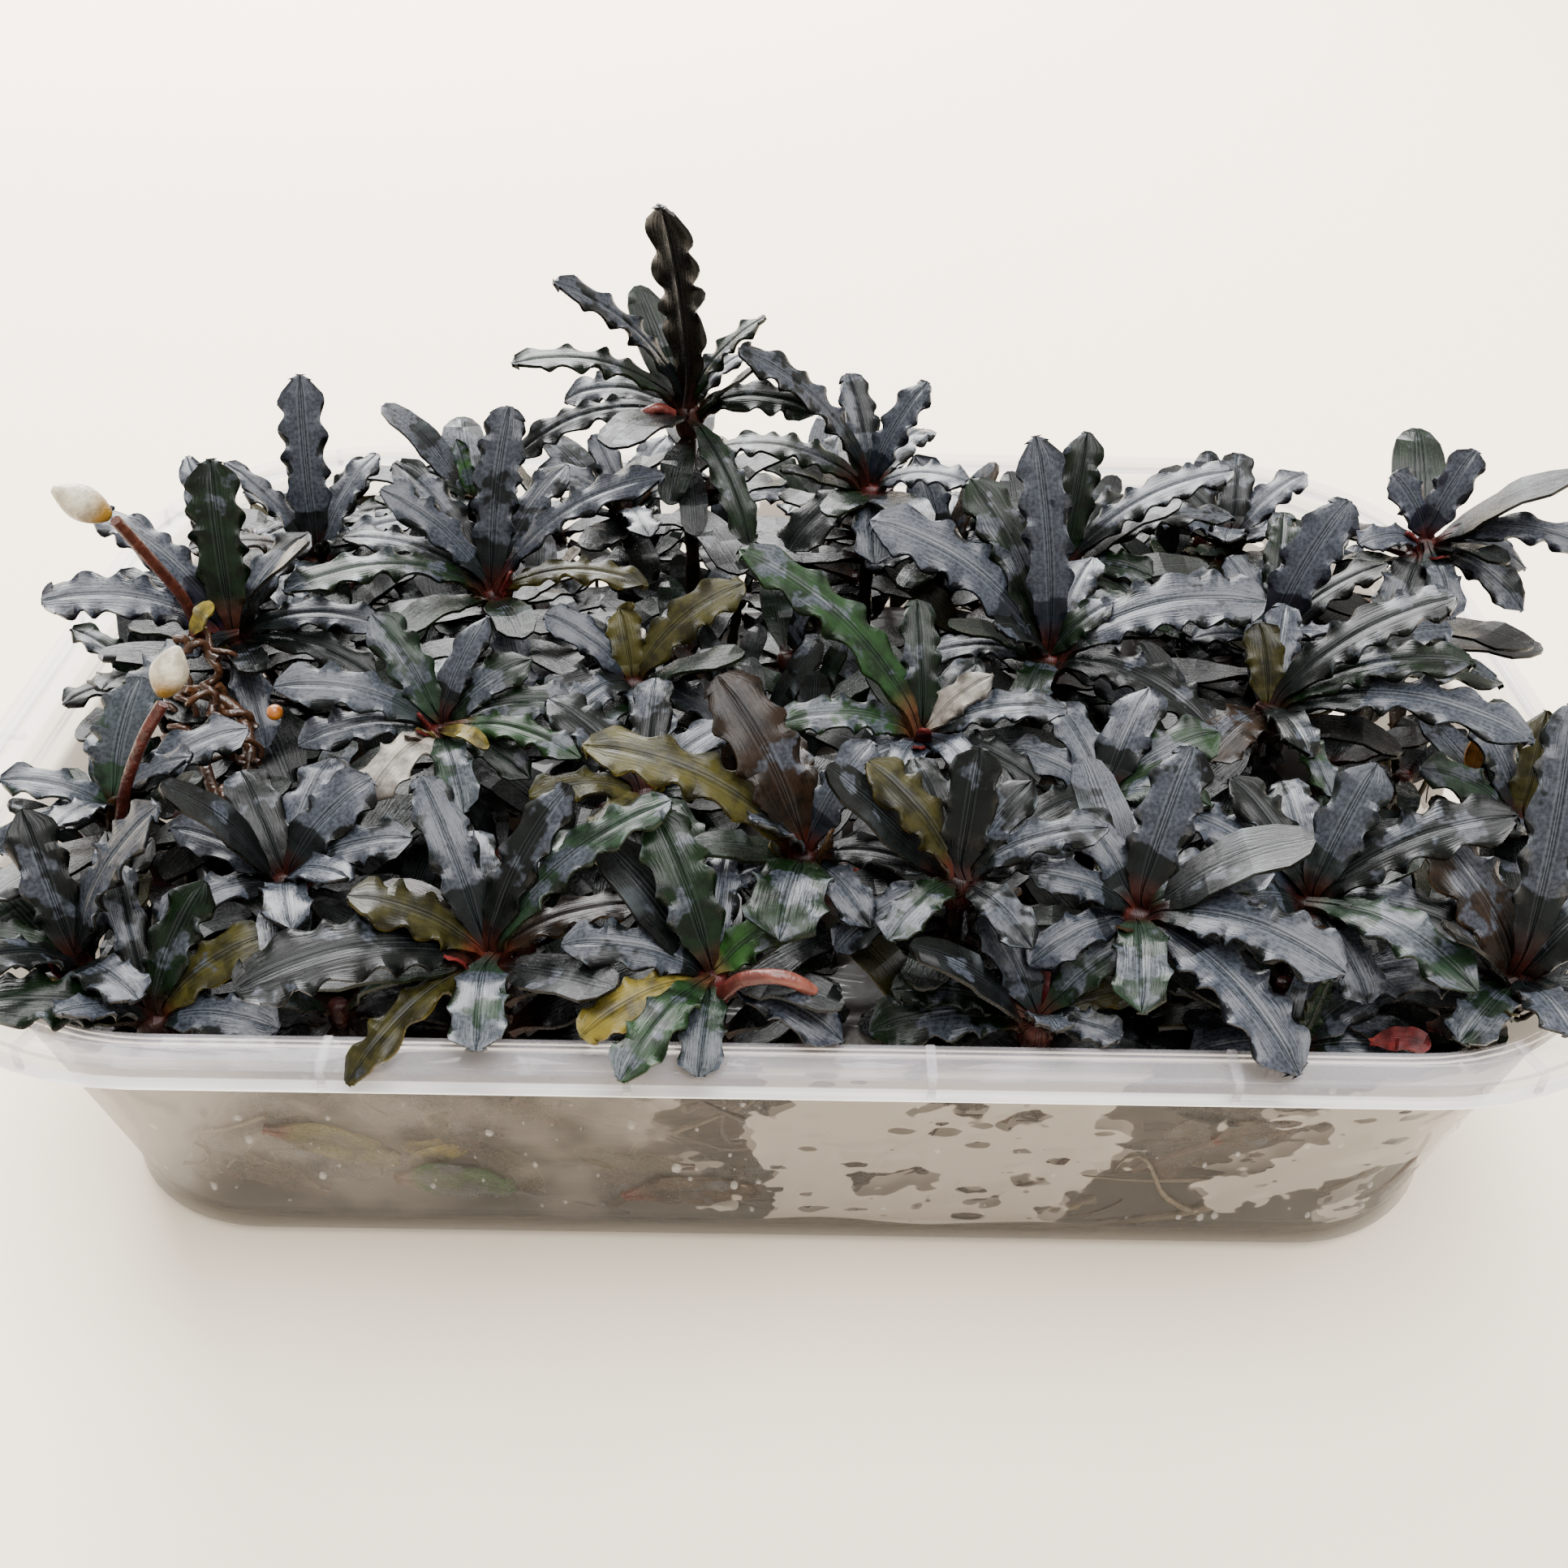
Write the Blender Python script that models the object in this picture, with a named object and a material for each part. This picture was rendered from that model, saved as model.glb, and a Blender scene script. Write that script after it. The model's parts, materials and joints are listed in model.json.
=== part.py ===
"""A clump of bucephalandra plants in a clear rectangular tub.

The frame: the origin is the centre of the tub's flat underside, X runs along the long side,
Y runs to the back, Z is up. Lengths in the tables are millimetres and angles are degrees.
"""
import itertools
import math
import random

import bmesh
import bpy
from mathutils import Matrix, Vector, noise
from mathutils.bvhtree import BVHTree

MM = 0.001
GAP = 0.3                      # clearance between neighbouring pieces

# The tub: rim, wall and base as (length, width, corner radius, height)
RIM_LENGTH, RIM_WIDTH, RIM_RADIUS = 172.0, 120.0, 31.0
BASE_LENGTH, BASE_WIDTH, BASE_RADIUS = 145.0, 92.0, 18.0
LEAST_RADIUS = 4.0
TUB_HEIGHT = 41.0
WALL_INSET = 5.0               # rim edge to the outside of the wall, under the flange
FLARE_HEIGHT = 39.0            # height at which the sloped wall meets that inset
WALL_TOP, INSIDE_TOP = 36.8, 36.4              # where the wall turns out to the flange, outside and inside
WALL = 0.9
FLOOR = 1.0
FOOT_CHAMFER = 1.2             # slope between the wall and the underside
CORNER_STEPS = 5
# The flange from its underside out over the skirt, the rim and the lid step:
# inset from the rim's outline and depth under the rim's top
FLANGE = ((4.8, 1.5), (1.1, 1.4), (1.0, 2.6), (0, 2.6), (0.3, 0.5), (0.9, 0), (2.7, 0), (3.1, 0.7),
          (4.6, 0.7), (5.7, 1.6))

WATER_DEPTH = 1.5
MAT_TOP = 26.0                 # mean height of the tangle of roots
MAT_RELIEF = 1.8               # lumps on its top
MAT_SIDE_RELIEF = 0.035        # share of its width that its sides are drawn in
MAT_LUMP = 10.0                # size of the lumps
MAT_EDGE = 1.0                 # height beside the top and the underside that stays as drawn
# The mat's outline from its underside to the middle of its top: height and inset from the wall
MAT_LEVELS = ((3.1, 5.5), (6.1, 3.6), (14, 3.4), (22, 4.0), (MAT_TOP, 8.0), (MAT_TOP, 22.0), (MAT_TOP, 38.0))
STONE_WEAR = 0.22
STONE_SEAT = MAT_TOP + MAT_RELIEF * 0.6

CROWN_RADIUS = 1.8
CROWN_SIDE = 0.75              # leaves grow above this share of the crown's radius under its centre
STEM_RADIUS = 1.0
STEM_RINGS = ((0.25, 1.0), (0.8, 0.85))         # share of the way down, share of the radius
FOOT_SHIFT = (0.97, 0.94)      # the stems lean outward from their feet
FOOT_LIMIT = (69.0, 45.0)      # half length and half width of the ground they stand on
LEAF_KEEL = 0.7                # depth of the midrib under the blade
LEAF_TWIST = 22.0
RIPPLE = 0.3                   # rise and fall of the wavy margins
LONG_LEAF = 17.0               # from this length on a leaf has one more ring
# Rings of a short and a long leaf: share of the length, share of the width
SHORT_RINGS = ((0.2, 0.34), (0.48, 0.95), (0.8, 0.86))
LONG_RINGS = ((0.16, 0.3), (0.38, 0.86), (0.62, 1.0), (0.84, 0.8))

# Each plant: its crown's place, then its leaves as (heading, rise, length, width).
# Heading 0 points along X and 90 points to the back; rise is the slope of the leaf's chord.
PLANTS = {
    "plant_01": ((-12, 23.5, 62), (
        (245, 80, 26, 6.5), (200, 50, 23, 4.5), (200, 24, 22, 5), (5, 52, 15, 4.5), (0, 3, 15, 5),
        (300, -32, 18, 4), (220, -8, 21, 4.5), (160, -2, 16, 5), (55, 40, 11, 3))),
    "plant_02": ((10, 24, 52), (
        (30, 60, 15, 5), (190, 48, 25, 5.5), (110, 60, 15, 5), (175, 14, 20, 5.5), (220, -15, 13, 7.5),
        (270, -10, 13, 5.5), (330, 20, 14, 5), (60, 10, 15, 5))),
    "plant_03": ((-34, 8, 46), (
        (75, 65, 22, 5.5), (55, 50, 18, 5), (0, 38, 26, 4.5), (185, 28, 18, 4.5), (215, 20, 25, 5),
        (165, 38, 18, 5), (140, 45, 20, 5), (350, 12, 19, 4), (290, -25, 14, 5))),
    "plant_04": ((-57, 18, 44), (
        (95, 70, 23, 5.5), (70, 55, 19, 5), (150, 59, 17, 3.5), (170, 38, 10, 3.5), (20, 20, 13, 4.5),
        (215, 25, 16, 4.5), (270, 10, 15, 4.5), (310, 35, 15, 4.5))),
    "plant_05": ((-61, -2, 46), (
        (100, 66, 20, 6), (150, 56, 20, 6), (205, 26, 20, 6.5), (175, 42, 17, 6), (120, 40, 23, 3),
        (0, 8, 17, 4), (350, -6, 18, 4), (295, -25, 14, 4.5), (240, 10, 16, 5), (60, 30, 15, 4.5))),
    "plant_06": ((-35, -19, 46), (
        (140, 50, 14, 5), (190, 26, 17, 5), (30, 30, 12, 5), (12, 8, 14, 5), (200, 8, 14, 4.5),
        (245, 0, 12, 5), (290, -5, 12, 4.5), (335, -12, 12, 4.5), (350, -4, 16, 4), (80, 50, 13, 4.5))),
    "plant_07": ((-66, -28, 42), (
        (75, 52, 14, 7), (125, 50, 11, 5), (190, 30, 11, 4.5), (36, 19, 15, 5.5), (210, 0, 11, 4.5),
        (330, 40, 13, 5), (280, 30, 12, 5))),
    "plant_08": ((-64, -46, 38), (
        (122, 60, 16, 5), (20, 58, 20, 6.5), (185, 33, 10, 5), (240, 45, 12, 5), (75, 45, 14, 4),
        (320, 20, 12, 5))),
    "plant_09": ((-56.5, -50, 35.5), (
        (30, 28, 13, 5), (188, 20, 19, 7), (130, 52, 19, 4), (60, 50, 14, 5), (235, 40, 11, 4.5),
        (350, 3, 12, 5), (95, 40, 13, 4.5))),
    "plant_10": ((-26, -48, 42), (
        (210, 18, 22, 6.5), (185, 38, 14, 6), (45, 54, 18, 4.5), (20, 42, 23, 4.5), (55, 20, 16, 4.5),
        (10, 20, 15, 4), (225, 6, 18, 4), (145, 52, 19, 5.5), (275, 8, 12, 5.5), (100, 45, 14, 5))),
    "plant_11": ((-6, -50, 42), (
        (122, 50, 16, 6), (180, 22, 14, 5), (215, 4, 13, 4.5), (275, 12, 12, 5), (243, 8, 15, 4.5),
        (325, 6, 14, 5.5), (20, 40, 9, 4.5), (70, 45, 13, 4.5))),
    "plant_12": ((2, -38, 46), (
        (135, 52, 19, 7), (62, 54, 13, 5.5), (172, 28, 23, 5.5), (205, 50, 10, 4.5),
        (260, 8, 13, 8), (345, 8, 12, 4), (310, 0, 10, 4.5), (100, 20, 14, 5), (210, 5, 12, 4.5))),
    "plant_13": ((16, -41, 46), (
        (145, 42, 14, 5.5), (115, 53, 14, 5), (77, 57, 13, 5.5), (40, 46, 12, 5), (12, 52, 15, 5),
        (0, 20, 13, 5.5), (232, 6, 11, 4.5), (205, -12, 13, 4.5), (305, 0, 10, 4.5))),
    "plant_14": ((32, -43, 44), (
        (60, 56, 16.5, 6), (118, 46, 11, 5), (325, 12, 19, 6), (262, 5, 13, 5.5), (205, -8, 11, 4.5),
        (312, -9, 20, 6.5), (357, 30, 13, 5), (20, 10, 14, 5), (170, 20, 11, 4.5))),
    "plant_15": ((23, -50, 37), (
        (125, 42, 12, 5), (40, 48, 14, 4.5), (185, 2, 15, 6), (165, 12, 14, 4.5), (12, 30, 10, 4),
        (340, 6, 9, 4.5), (280, 28, 9, 4.5))),
    "plant_16": ((49, -39, 42), (
        (48, 58, 15, 5.5), (0, 45, 20, 6), (128, 38, 14, 5), (148, 24, 14, 5.5), (335, 10, 14, 5),
        (312, 10, 18, 5.5), (295, -12, 11, 5), (90, 20, 14, 5), (200, 15, 13, 5))),
    "plant_17": ((51, -12, 45), (
        (0, 43, 22, 6), (345, 29, 21, 5.5), (330, 14, 26, 6), (8, 5, 26, 4.5), (18, 20, 22, 4.5),
        (225, 0, 11, 6), (100, 55, 10, 4.5), (325, -6, 14, 4.5), (60, 35, 14, 5), (280, 5, 13, 5))),
    "plant_18": ((29, -2.5, 45), (
        (105, 66, 25, 5.5), (132, 56, 23, 7), (160, 36, 26, 8), (352, 25, 24, 7.5), (340, 7, 20, 7),
        (15, 45, 10, 5), (175, 3, 16, 4.5), (322, -12, 11, 5.5), (210, 35, 12, 4.5), (60, 40, 15, 5),
        (250, 5, 13, 5))),
    "plant_19": ((14, -19, 46), (
        (158, 41, 27, 6), (112, 57, 15, 5), (20, 42, 10, 4), (355, 20, 15, 4.5), (342, 8, 14, 4),
        (188, 14, 15, 5), (205, -4, 11, 4.5), (60, 45, 12, 4.5), (250, 5, 12, 5), (290, -5, 12, 5))),
    "plant_20": ((56, 6, 42), (
        (38, 60, 19, 6.5), (115, 56, 13, 5), (78, 50, 21, 4.5), (5, 48, 18, 5.5), (340, 40, 11, 5),
        (137, 38, 14, 5), (165, 20, 10, 4.5), (250, 20, 13, 5), (310, 15, 14, 5), (200, 25, 12, 4.5))),
    "plant_21": ((72, 9, 54), (
        (148, 55, 9.5, 5), (40, 66, 12, 5), (335, 14, 17, 4), (345, -4, 12, 5), (320, -12, 13, 5),
        (240, -30, 10, 6.5), (290, -24, 11, 4.5), (200, 10, 9, 4.5))),
    "plant_22": ((66, -47, 40), (
        (76, 60, 26, 5), (122, 46, 16, 8), (178, 2, 15, 7), (98, 20, 13, 5.5), (28, 46, 14, 6),
        (225, 8, 11, 5), (320, 8, 12, 5), (52, 38, 14, 4.5), (275, 20, 10, 5))),
    "plant_23": ((-42, 38.5, 42), (
        (120, 64, 9, 2.5), (155, 45, 8, 3), (60, 56, 9, 3), (20, 40, 8, 3), (200, 30, 10, 3.5),
        (330, 30, 10, 3.5), (265, 35, 9, 3.5))),
    "plant_24": ((-17, -4, 42), (
        (108, 58, 9, 4.5), (25, 37, 17, 5.5), (158, 43, 13, 5), (50, 38, 12, 5), (200, 5, 10, 4.5),
        (340, -8, 11, 5), (290, 5, 12, 5), (240, 15, 12, 5), (75, 20, 12, 5))),
    "plant_25": ((34, 20, 44), (
        (0, 37, 23, 5.5), (75, 62, 17, 5), (12, 14, 22, 4), (340, 12, 11, 5), (118, 55, 12, 4.5),
        (330, -6, 15, 5), (40, 30, 15, 4.5), (160, 25, 14, 5), (220, 20, 13, 5))),
    "plant_26": ((19, 23, 44), (
        (122, 58, 13, 5.5), (28, 50, 12, 5.5), (190, 2, 10, 4.5), (80, 30, 13, 5), (290, 20, 12, 5),
        (240, 30, 11, 5), (340, 15, 12, 5))),
    "plant_27": ((-47, -37, 41), (
        (40, 38, 13, 6), (75, 48, 14, 6), (10, 20, 13, 5.5), (120, 30, 13, 5.5), (170, 35, 12, 5),
        (215, 10, 12, 5), (290, 20, 12, 5), (330, 5, 12, 5))),
    "plant_28": ((-14, -24, 42), (
        (150, 35, 14, 6.5), (95, 40, 13, 5), (30, 30, 12, 5), (200, 15, 12, 5), (250, 5, 12, 5),
        (300, 0, 12, 5), (345, 15, 11, 5))),
    "plant_29": ((32, -25, 43), (
        (60, 40, 13, 6), (20, 30, 14, 6), (110, 35, 12, 5), (160, 25, 11, 5), (215, 10, 11, 5),
        (290, 10, 11, 5.5), (335, 20, 13, 5.5))),
    "plant_30": ((76, -22, 38), (
        (120, 45, 14, 5), (170, 30, 13, 5), (80, 60, 13, 4.5), (230, 30, 12, 5), (285, 45, 11, 4.5))),
    "plant_31": ((47, -49, 33), (
        (20, 40, 12, 5), (60, 30, 12, 5), (150, 30, 12, 5), (200, 15, 11, 4.5), (350, 10, 11, 4.5),
        (105, 66, 11, 4.5))),
    "plant_32": ((-22, 40, 40), (
        (60, 35, 13, 5), (120, 45, 12, 4.5), (170, 25, 13, 5), (240, 30, 14, 5), (290, 15, 13, 5),
        (0, 20, 14, 5), (90, 15, 11, 4.5))),
    "plant_33": ((4, 42, 40), (
        (70, 40, 12, 5), (20, 25, 14, 5), (150, 30, 13, 5), (250, 25, 13, 5), (310, 35, 14, 5),
        (190, 15, 13, 4.5))),
    "plant_34": ((58, 34, 40), (
        (80, 45, 13, 5), (30, 35, 14, 5), (140, 40, 14, 5), (190, 20, 15, 5), (250, 30, 14, 5),
        (310, 25, 14, 5), (350, 15, 13, 4.5))),
    "plant_35": ((-72, -2, 39), (
        (95, 40, 13, 5), (150, 50, 11, 4.5), (270, 35, 13, 5), (230, 45, 11, 4.5), (40, 30, 11, 4.5))),
    "plant_36": ((-62, 36, 38), (
        (60, 30, 13, 5), (110, 45, 12, 4.5), (180, 40, 12, 4.5), (250, 25, 14, 5), (320, 30, 14, 5),
        (10, 15, 13, 4.5))),
}

# Pebbles among the plants as (x, y), size and height of each
STONES = {
    "stone_1": ((-39.6, -34.6), (5.0, 4.2, 3.4)),
    "stone_2": ((-33.5, -40), (3.4, 4.0, 3.0)),
    "stone_3": ((8, -44), (4.0, 3.4, 2.8)),
    "stone_4": ((57, -38), (4.6, 3.6, 3.2)),
    "stone_5": ((-8, 12), (5.0, 4.0, 3.2)),
}
# Fallen leaves that cling to the inside of the front wall: x along the wall, height, length, width, turn
FALLEN_LEAVES = {
    "fallen_leaf_1": (45.4, 22.4, 7.0, 5.0, 20),
    "fallen_leaf_2": (-9.0, 7.5, 14.0, 6.0, 4),
    "fallen_leaf_3": (-33.0, 9.0, 12.0, 7.0, -12),
    "fallen_leaf_4": (-44.0, 17.0, 13.0, 6.0, -35),
}
FALLEN_THICKNESS = 0.8
FALLEN_GAP = 0.4               # space between the wall and the leaf
FALLEN_POINTS, FALLEN_LOBES, FALLEN_LOBE = 10, 3, 0.12
# Stalks and loose roots as routes of points, with their radius
STALKS = {
    "bud_stalk_1": (((-63.4, -5, 48.8), (-63.2, -7.5, 55), (-64.2, -10.2, 61), (-65.6, -12.4, 66.6)), 0.55),
    "bud_stalk_2": (((-64.4, -31, 43.6), (-62.2, -31.6, 49), (-59.6, -31, 54), (-57.4, -30, 57.2)), 0.55),
    "arched_stalk_1": (((-13.6, 21.4, 63.4), (-15.2, 20.2, 64.6), (-17.2, 19.6, 63.6),
                        (-17.8, 19.6, 60.8)), 0.6),
    "arched_stalk_2": (((-5, -52.4, 43.4), (-3, -53.4, 46.2), (0.8, -53.8, 46.6),
                        (4.2, -53.6, 43.2)), 0.65),
    "root_1": (((-67, -9, 43), (-63, -11.5, 46), (-58, -13, 44.5), (-56, -18, 41), (-58, -22, 36)), 0.7),
    "root_2": (((-66, -14, 41.5), (-61.5, -17, 43.5), (-57.5, -24, 41), (-53, -27, 37)), 0.6),
    "root_3": (((-50, -26, 40), (-52.5, -28.5, 42.5), (-55.5, -28.8, 40.5), (-53.5, -29.5, 37)), 0.6),
}
STALK_SIDES = 5
STALK_AXIS = Vector((0.31, 0.87, 0.38))        # no stalk runs along it
# Closed flower buds as centre, length, radius and the way the tip points (heading, rise)
BUDS = {
    "flower_bud_1": ((-67.3, -14.6, 69.6), 5.6, 1.75, (200, 40)),
    "flower_bud_2": ((-56.2, -29.4, 60.4), 5.0, 1.7, (40, 60)),
}
BUD_TAPER, BUD_DRAW = 0.45, 1.5
BERRY_PLACE, BERRY_RADIUS = (-50.6, -21.6, 50.5), 1.1

# How far a leaf may be turned, lifted, shortened and narrowed to clear its neighbours
TURN, LIFT, SHORTEN, NARROW = 42.0, 34.0, 0.3, 0.25
TRIES = 220
OWN_GAP = 0.08                 # least clearance between two leaves of one crown
LOOSE = 0.99                   # share of its size at which a triangle is tested against its neighbours
BASE_CHOICES = 4               # faces of the crown that are tried for one leaf
BASE_IN, BASE_AHEAD = 0.7, 0.15                 # the petiole's root as tested: size, distance outward
GOLDEN_ANGLE = 2.39996
BODY = " body"
COLOURS = {
    "clear": ((0.86, 0.88, 0.87), 0.15),
    "water": ((0.55, 0.56, 0.50), 0.05),
    "root": ((0.16, 0.09, 0.05), 0.8),
    "stone": ((0.30, 0.29, 0.27), 0.8),
    "leaf": ((0.035, 0.05, 0.045), 0.3),
    "green_leaf": ((0.10, 0.20, 0.05), 0.3),
    "brown_leaf": ((0.16, 0.09, 0.04), 0.5),
    "stalk": ((0.45, 0.10, 0.09), 0.4),
    "bud": ((0.80, 0.70, 0.50), 0.4),
    "berry": ((0.75, 0.32, 0.08), 0.3),
}


def clear_scene():
    for item in list(bpy.data.objects):
        bpy.data.objects.remove(item, do_unlink=True)


def material(name):
    colour, roughness = COLOURS[name]
    made = bpy.data.materials.get(name) or bpy.data.materials.new(name)
    made.use_nodes = True
    shader = made.node_tree.nodes["Principled BSDF"]
    shader.inputs["Base Color"].default_value = (*colour, 1.0)
    shader.inputs["Roughness"].default_value = roughness
    shader.inputs["Metallic"].default_value = 0.0
    return made


def finish(bm, name, finish_name):
    """Turn a closed bmesh in millimetres into a named object in metres."""
    bmesh.ops.triangulate(bm, faces=bm.faces)
    bmesh.ops.recalc_face_normals(bm, faces=bm.faces)
    bmesh.ops.scale(bm, vec=(MM, MM, MM), verts=bm.verts)
    mesh = bpy.data.meshes.new(name)
    bm.to_mesh(mesh)
    bm.free()
    mesh.materials.append(material(finish_name))
    item = bpy.data.objects.new(name, mesh)
    bpy.context.collection.objects.link(item)
    return item


def rounded_loop(length, width, radius, z):
    """Points of a rectangle with round corners, counter-clockwise from above."""
    points = []
    for quarter, (sx, sy) in enumerate(((1, -1), (1, 1), (-1, 1), (-1, -1))):
        cx, cy = sx * (length / 2 - radius), sy * (width / 2 - radius)
        for step in range(CORNER_STEPS + 1):
            angle = math.radians(90 * (quarter - 1) + 90 * step / CORNER_STEPS)
            points.append(Vector((cx + radius * math.cos(angle), cy + radius * math.sin(angle), z)))
    return points


def loft(bm, loops):
    """A closed skin over loops with the same number of points, capped at both ends."""
    made = [[bm.verts.new(point) for point in points] for points in loops]
    for lower, upper in zip(made, made[1:]):
        for k, corner in enumerate(lower):
            bm.faces.new((lower[k - 1], corner, upper[k], upper[k - 1]))
    bm.faces.new(made[0])
    bm.faces.new(made[-1])


def rim_loop(inset, z):
    return rounded_loop(RIM_LENGTH - 2 * inset, RIM_WIDTH - 2 * inset, RIM_RADIUS - inset, z)


def wall_loop(z, inset):
    """The wall's outer outline at a height, pulled in by an inset."""
    share = z / FLARE_HEIGHT
    length = BASE_LENGTH + share * (RIM_LENGTH - 2 * WALL_INSET - BASE_LENGTH) - 2 * inset
    width = BASE_WIDTH + share * (RIM_WIDTH - 2 * WALL_INSET - BASE_WIDTH) - 2 * inset
    radius = BASE_RADIUS + share * (RIM_RADIUS - WALL_INSET - BASE_RADIUS) - inset
    return rounded_loop(length, width, max(radius, LEAST_RADIUS), z)


def tub():
    """The thin wall and floor with a flange, a lid step and a turned-down skirt."""
    outside = [wall_loop(0, FOOT_CHAMFER), wall_loop(FOOT_CHAMFER, 0), wall_loop(WALL_TOP, 0)]
    flange = [rim_loop(inset, TUB_HEIGHT - depth) for inset, depth in FLANGE]
    inside = [wall_loop(INSIDE_TOP, WALL), wall_loop(FLOOR + FOOT_CHAMFER, WALL),
              wall_loop(FLOOR, WALL + FOOT_CHAMFER)]
    bm = bmesh.new()
    loft(bm, outside + flange + inside)
    return finish(bm, "tub", "clear")


def water():
    low, high = FLOOR + GAP, FLOOR + GAP + WATER_DEPTH
    bm = bmesh.new()
    loft(bm, [wall_loop(low, WALL + FOOT_CHAMFER + GAP), wall_loop(high, WALL + GAP)])
    return finish(bm, "water", "water")


def root_mat():
    """A lumpy tangle of roots that fills the lower part of the tub."""
    bm = bmesh.new()
    loft(bm, [wall_loop(z, WALL + inset) for z, inset in MAT_LEVELS])
    for vert in bm.verts:
        place = vert.co / MAT_LUMP
        if vert.co.z > MAT_TOP - MAT_EDGE:
            vert.co.z += MAT_RELIEF * noise.noise(place)
        elif vert.co.z > MAT_LEVELS[0][0] + MAT_EDGE:
            pull = 1.0 - MAT_SIDE_RELIEF * (1 + noise.noise(place))
            vert.co.x *= pull
            vert.co.y *= pull
    return finish(bm, "root_mat", "root")


def stone(name, place, size):
    """A pebble with worn flat faces that lies on the root mat."""
    bm = bmesh.new()
    bmesh.ops.create_icosphere(bm, subdivisions=2, radius=0.5)
    rng = random.Random(name)
    offset = Vector((rng.random() * 9, rng.random() * 9, rng.random() * 9))
    z = STONE_SEAT + GAP + size[2] / 2
    for vert in bm.verts:
        vert.co *= 1.0 + STONE_WEAR * noise.noise(vert.co * 3 + offset)
        vert.co = Vector((vert.co.x * size[0], vert.co.y * size[1], vert.co.z * size[2]))
        vert.co += Vector((*place, z))
    return finish(bm, name, "stone")


def front_wall_y(z):
    """The inside face of the front wall at a height."""
    share = z / FLARE_HEIGHT
    return -(BASE_WIDTH + share * (RIM_WIDTH - 2 * WALL_INSET - BASE_WIDTH)) / 2 + WALL


def fallen_leaf(name, x, z, length, width, turn):
    """A flat leaf lying against the sloped front wall."""
    bm = bmesh.new()
    outline = []
    for step in range(FALLEN_POINTS):
        angle = math.tau * step / FALLEN_POINTS
        lobe = 1.0 + FALLEN_LOBE * math.cos(FALLEN_LOBES * angle)
        outline.append(Vector((length / 2 * math.cos(angle) * lobe, width / 2 * math.sin(angle), 0)))
    turned = Matrix.Rotation(math.radians(turn), 3, "Z")
    loops = []
    for depth in (FALLEN_GAP, FALLEN_GAP + FALLEN_THICKNESS):
        loop = []
        for point in outline:
            flat = turned @ point
            height = z + flat.y
            loop.append(Vector((x + flat.x, front_wall_y(height) + depth, height)))
        loops.append(loop)
    loft(bm, loops)
    return finish(bm, name, "green_leaf" if name.endswith(("3", "4")) else "brown_leaf")


def smooth_route(points, steps=3):
    """More points along a smooth curve through the given ones."""
    points = [Vector(point) for point in points]
    ends = [2 * points[0] - points[1]] + points + [2 * points[-1] - points[-2]]
    route = []
    for a, b, c, d in zip(ends, ends[1:], ends[2:], ends[3:]):
        for step in range(steps):
            t = step / steps
            route.append(0.5 * (2 * b + (c - a) * t + (2 * a - 5 * b + 4 * c - d) * t ** 2
                                + (3 * b - a - 3 * c + d) * t ** 3))
    route.append(points[-1])
    return route


def stalk(name, points, radius):
    """A round stalk or root along a smooth route."""
    route = smooth_route(points, 2)
    side = STALK_AXIS.normalized()
    loops = []
    for index, centre in enumerate(route):
        ahead = route[min(index + 1, len(route) - 1)] - route[max(index - 1, 0)]
        ahead.normalize()
        across = ahead.cross(side).normalized()
        up = across.cross(ahead)
        loop = []
        for step in range(STALK_SIDES):
            angle = math.tau * step / STALK_SIDES
            loop.append(centre + radius * (math.cos(angle) * across + math.sin(angle) * up))
        loops.append(loop)
    bm = bmesh.new()
    loft(bm, loops)
    return finish(bm, name, "root" if name.startswith("root") else "stalk")


def bud(name, centre, length, radius, aim):
    """A closed bud: round below and drawn out to a point."""
    heading, rise = (math.radians(angle) for angle in aim)
    axis = Vector((math.cos(rise) * math.cos(heading), math.cos(rise) * math.sin(heading), math.sin(rise)))
    bm = bmesh.new()
    bmesh.ops.create_icosphere(bm, subdivisions=2, radius=1.0)
    turn = Vector((0, 0, 1)).rotation_difference(axis).to_matrix()
    for vert in bm.verts:
        taper = 1.0 - BUD_TAPER * max(vert.co.z, 0) ** BUD_DRAW
        local = Vector((vert.co.x * radius * taper, vert.co.y * radius * taper, vert.co.z * length / 2))
        vert.co = turn @ local + Vector(centre)
    return finish(bm, name, "bud")


def berry():
    bm = bmesh.new()
    bmesh.ops.create_icosphere(bm, subdivisions=1, radius=BERRY_RADIUS)
    bmesh.ops.translate(bm, vec=BERRY_PLACE, verts=bm.verts)
    return finish(bm, "berry", "berry")


def leaf_axes(heading, rise):
    h, r = math.radians(heading), math.radians(rise)
    along = Vector((math.cos(r) * math.cos(h), math.cos(r) * math.sin(h), math.sin(r)))
    across = Vector((-math.sin(h), math.cos(h), 0))
    return along, across, along.cross(across)


def leaf_rings(crown, leaf, rng):
    """Rings of left edge, right edge and midrib from the petiole to the tip, then the tip itself."""
    heading, rise, length, width = leaf
    along, across, up = leaf_axes(heading, rise)
    arch = length * (0.03 + 0.13 * math.cos(math.radians(rise)))
    twist = rng.uniform(-LEAF_TWIST, LEAF_TWIST)
    flip = rng.choice((-1, 1))
    stations = LONG_RINGS if length >= LONG_LEAF else SHORT_RINGS
    rings = []
    for index, (t, share) in enumerate(stations):
        turned = Matrix.Rotation(math.radians(twist * t), 3, along)
        side, top = turned @ across, turned @ up
        middle = crown + along * length * t + up * arch * 4 * t * (1 - t)
        ripple = top * RIPPLE * flip * (1 if index % 2 else -1) * (0 if index == 0 else 1)
        half = side * width / 2 * share
        rings.append([middle + half + ripple, middle - half - ripple, middle - top * LEAF_KEEL])
    return rings, crown + along * length


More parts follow.
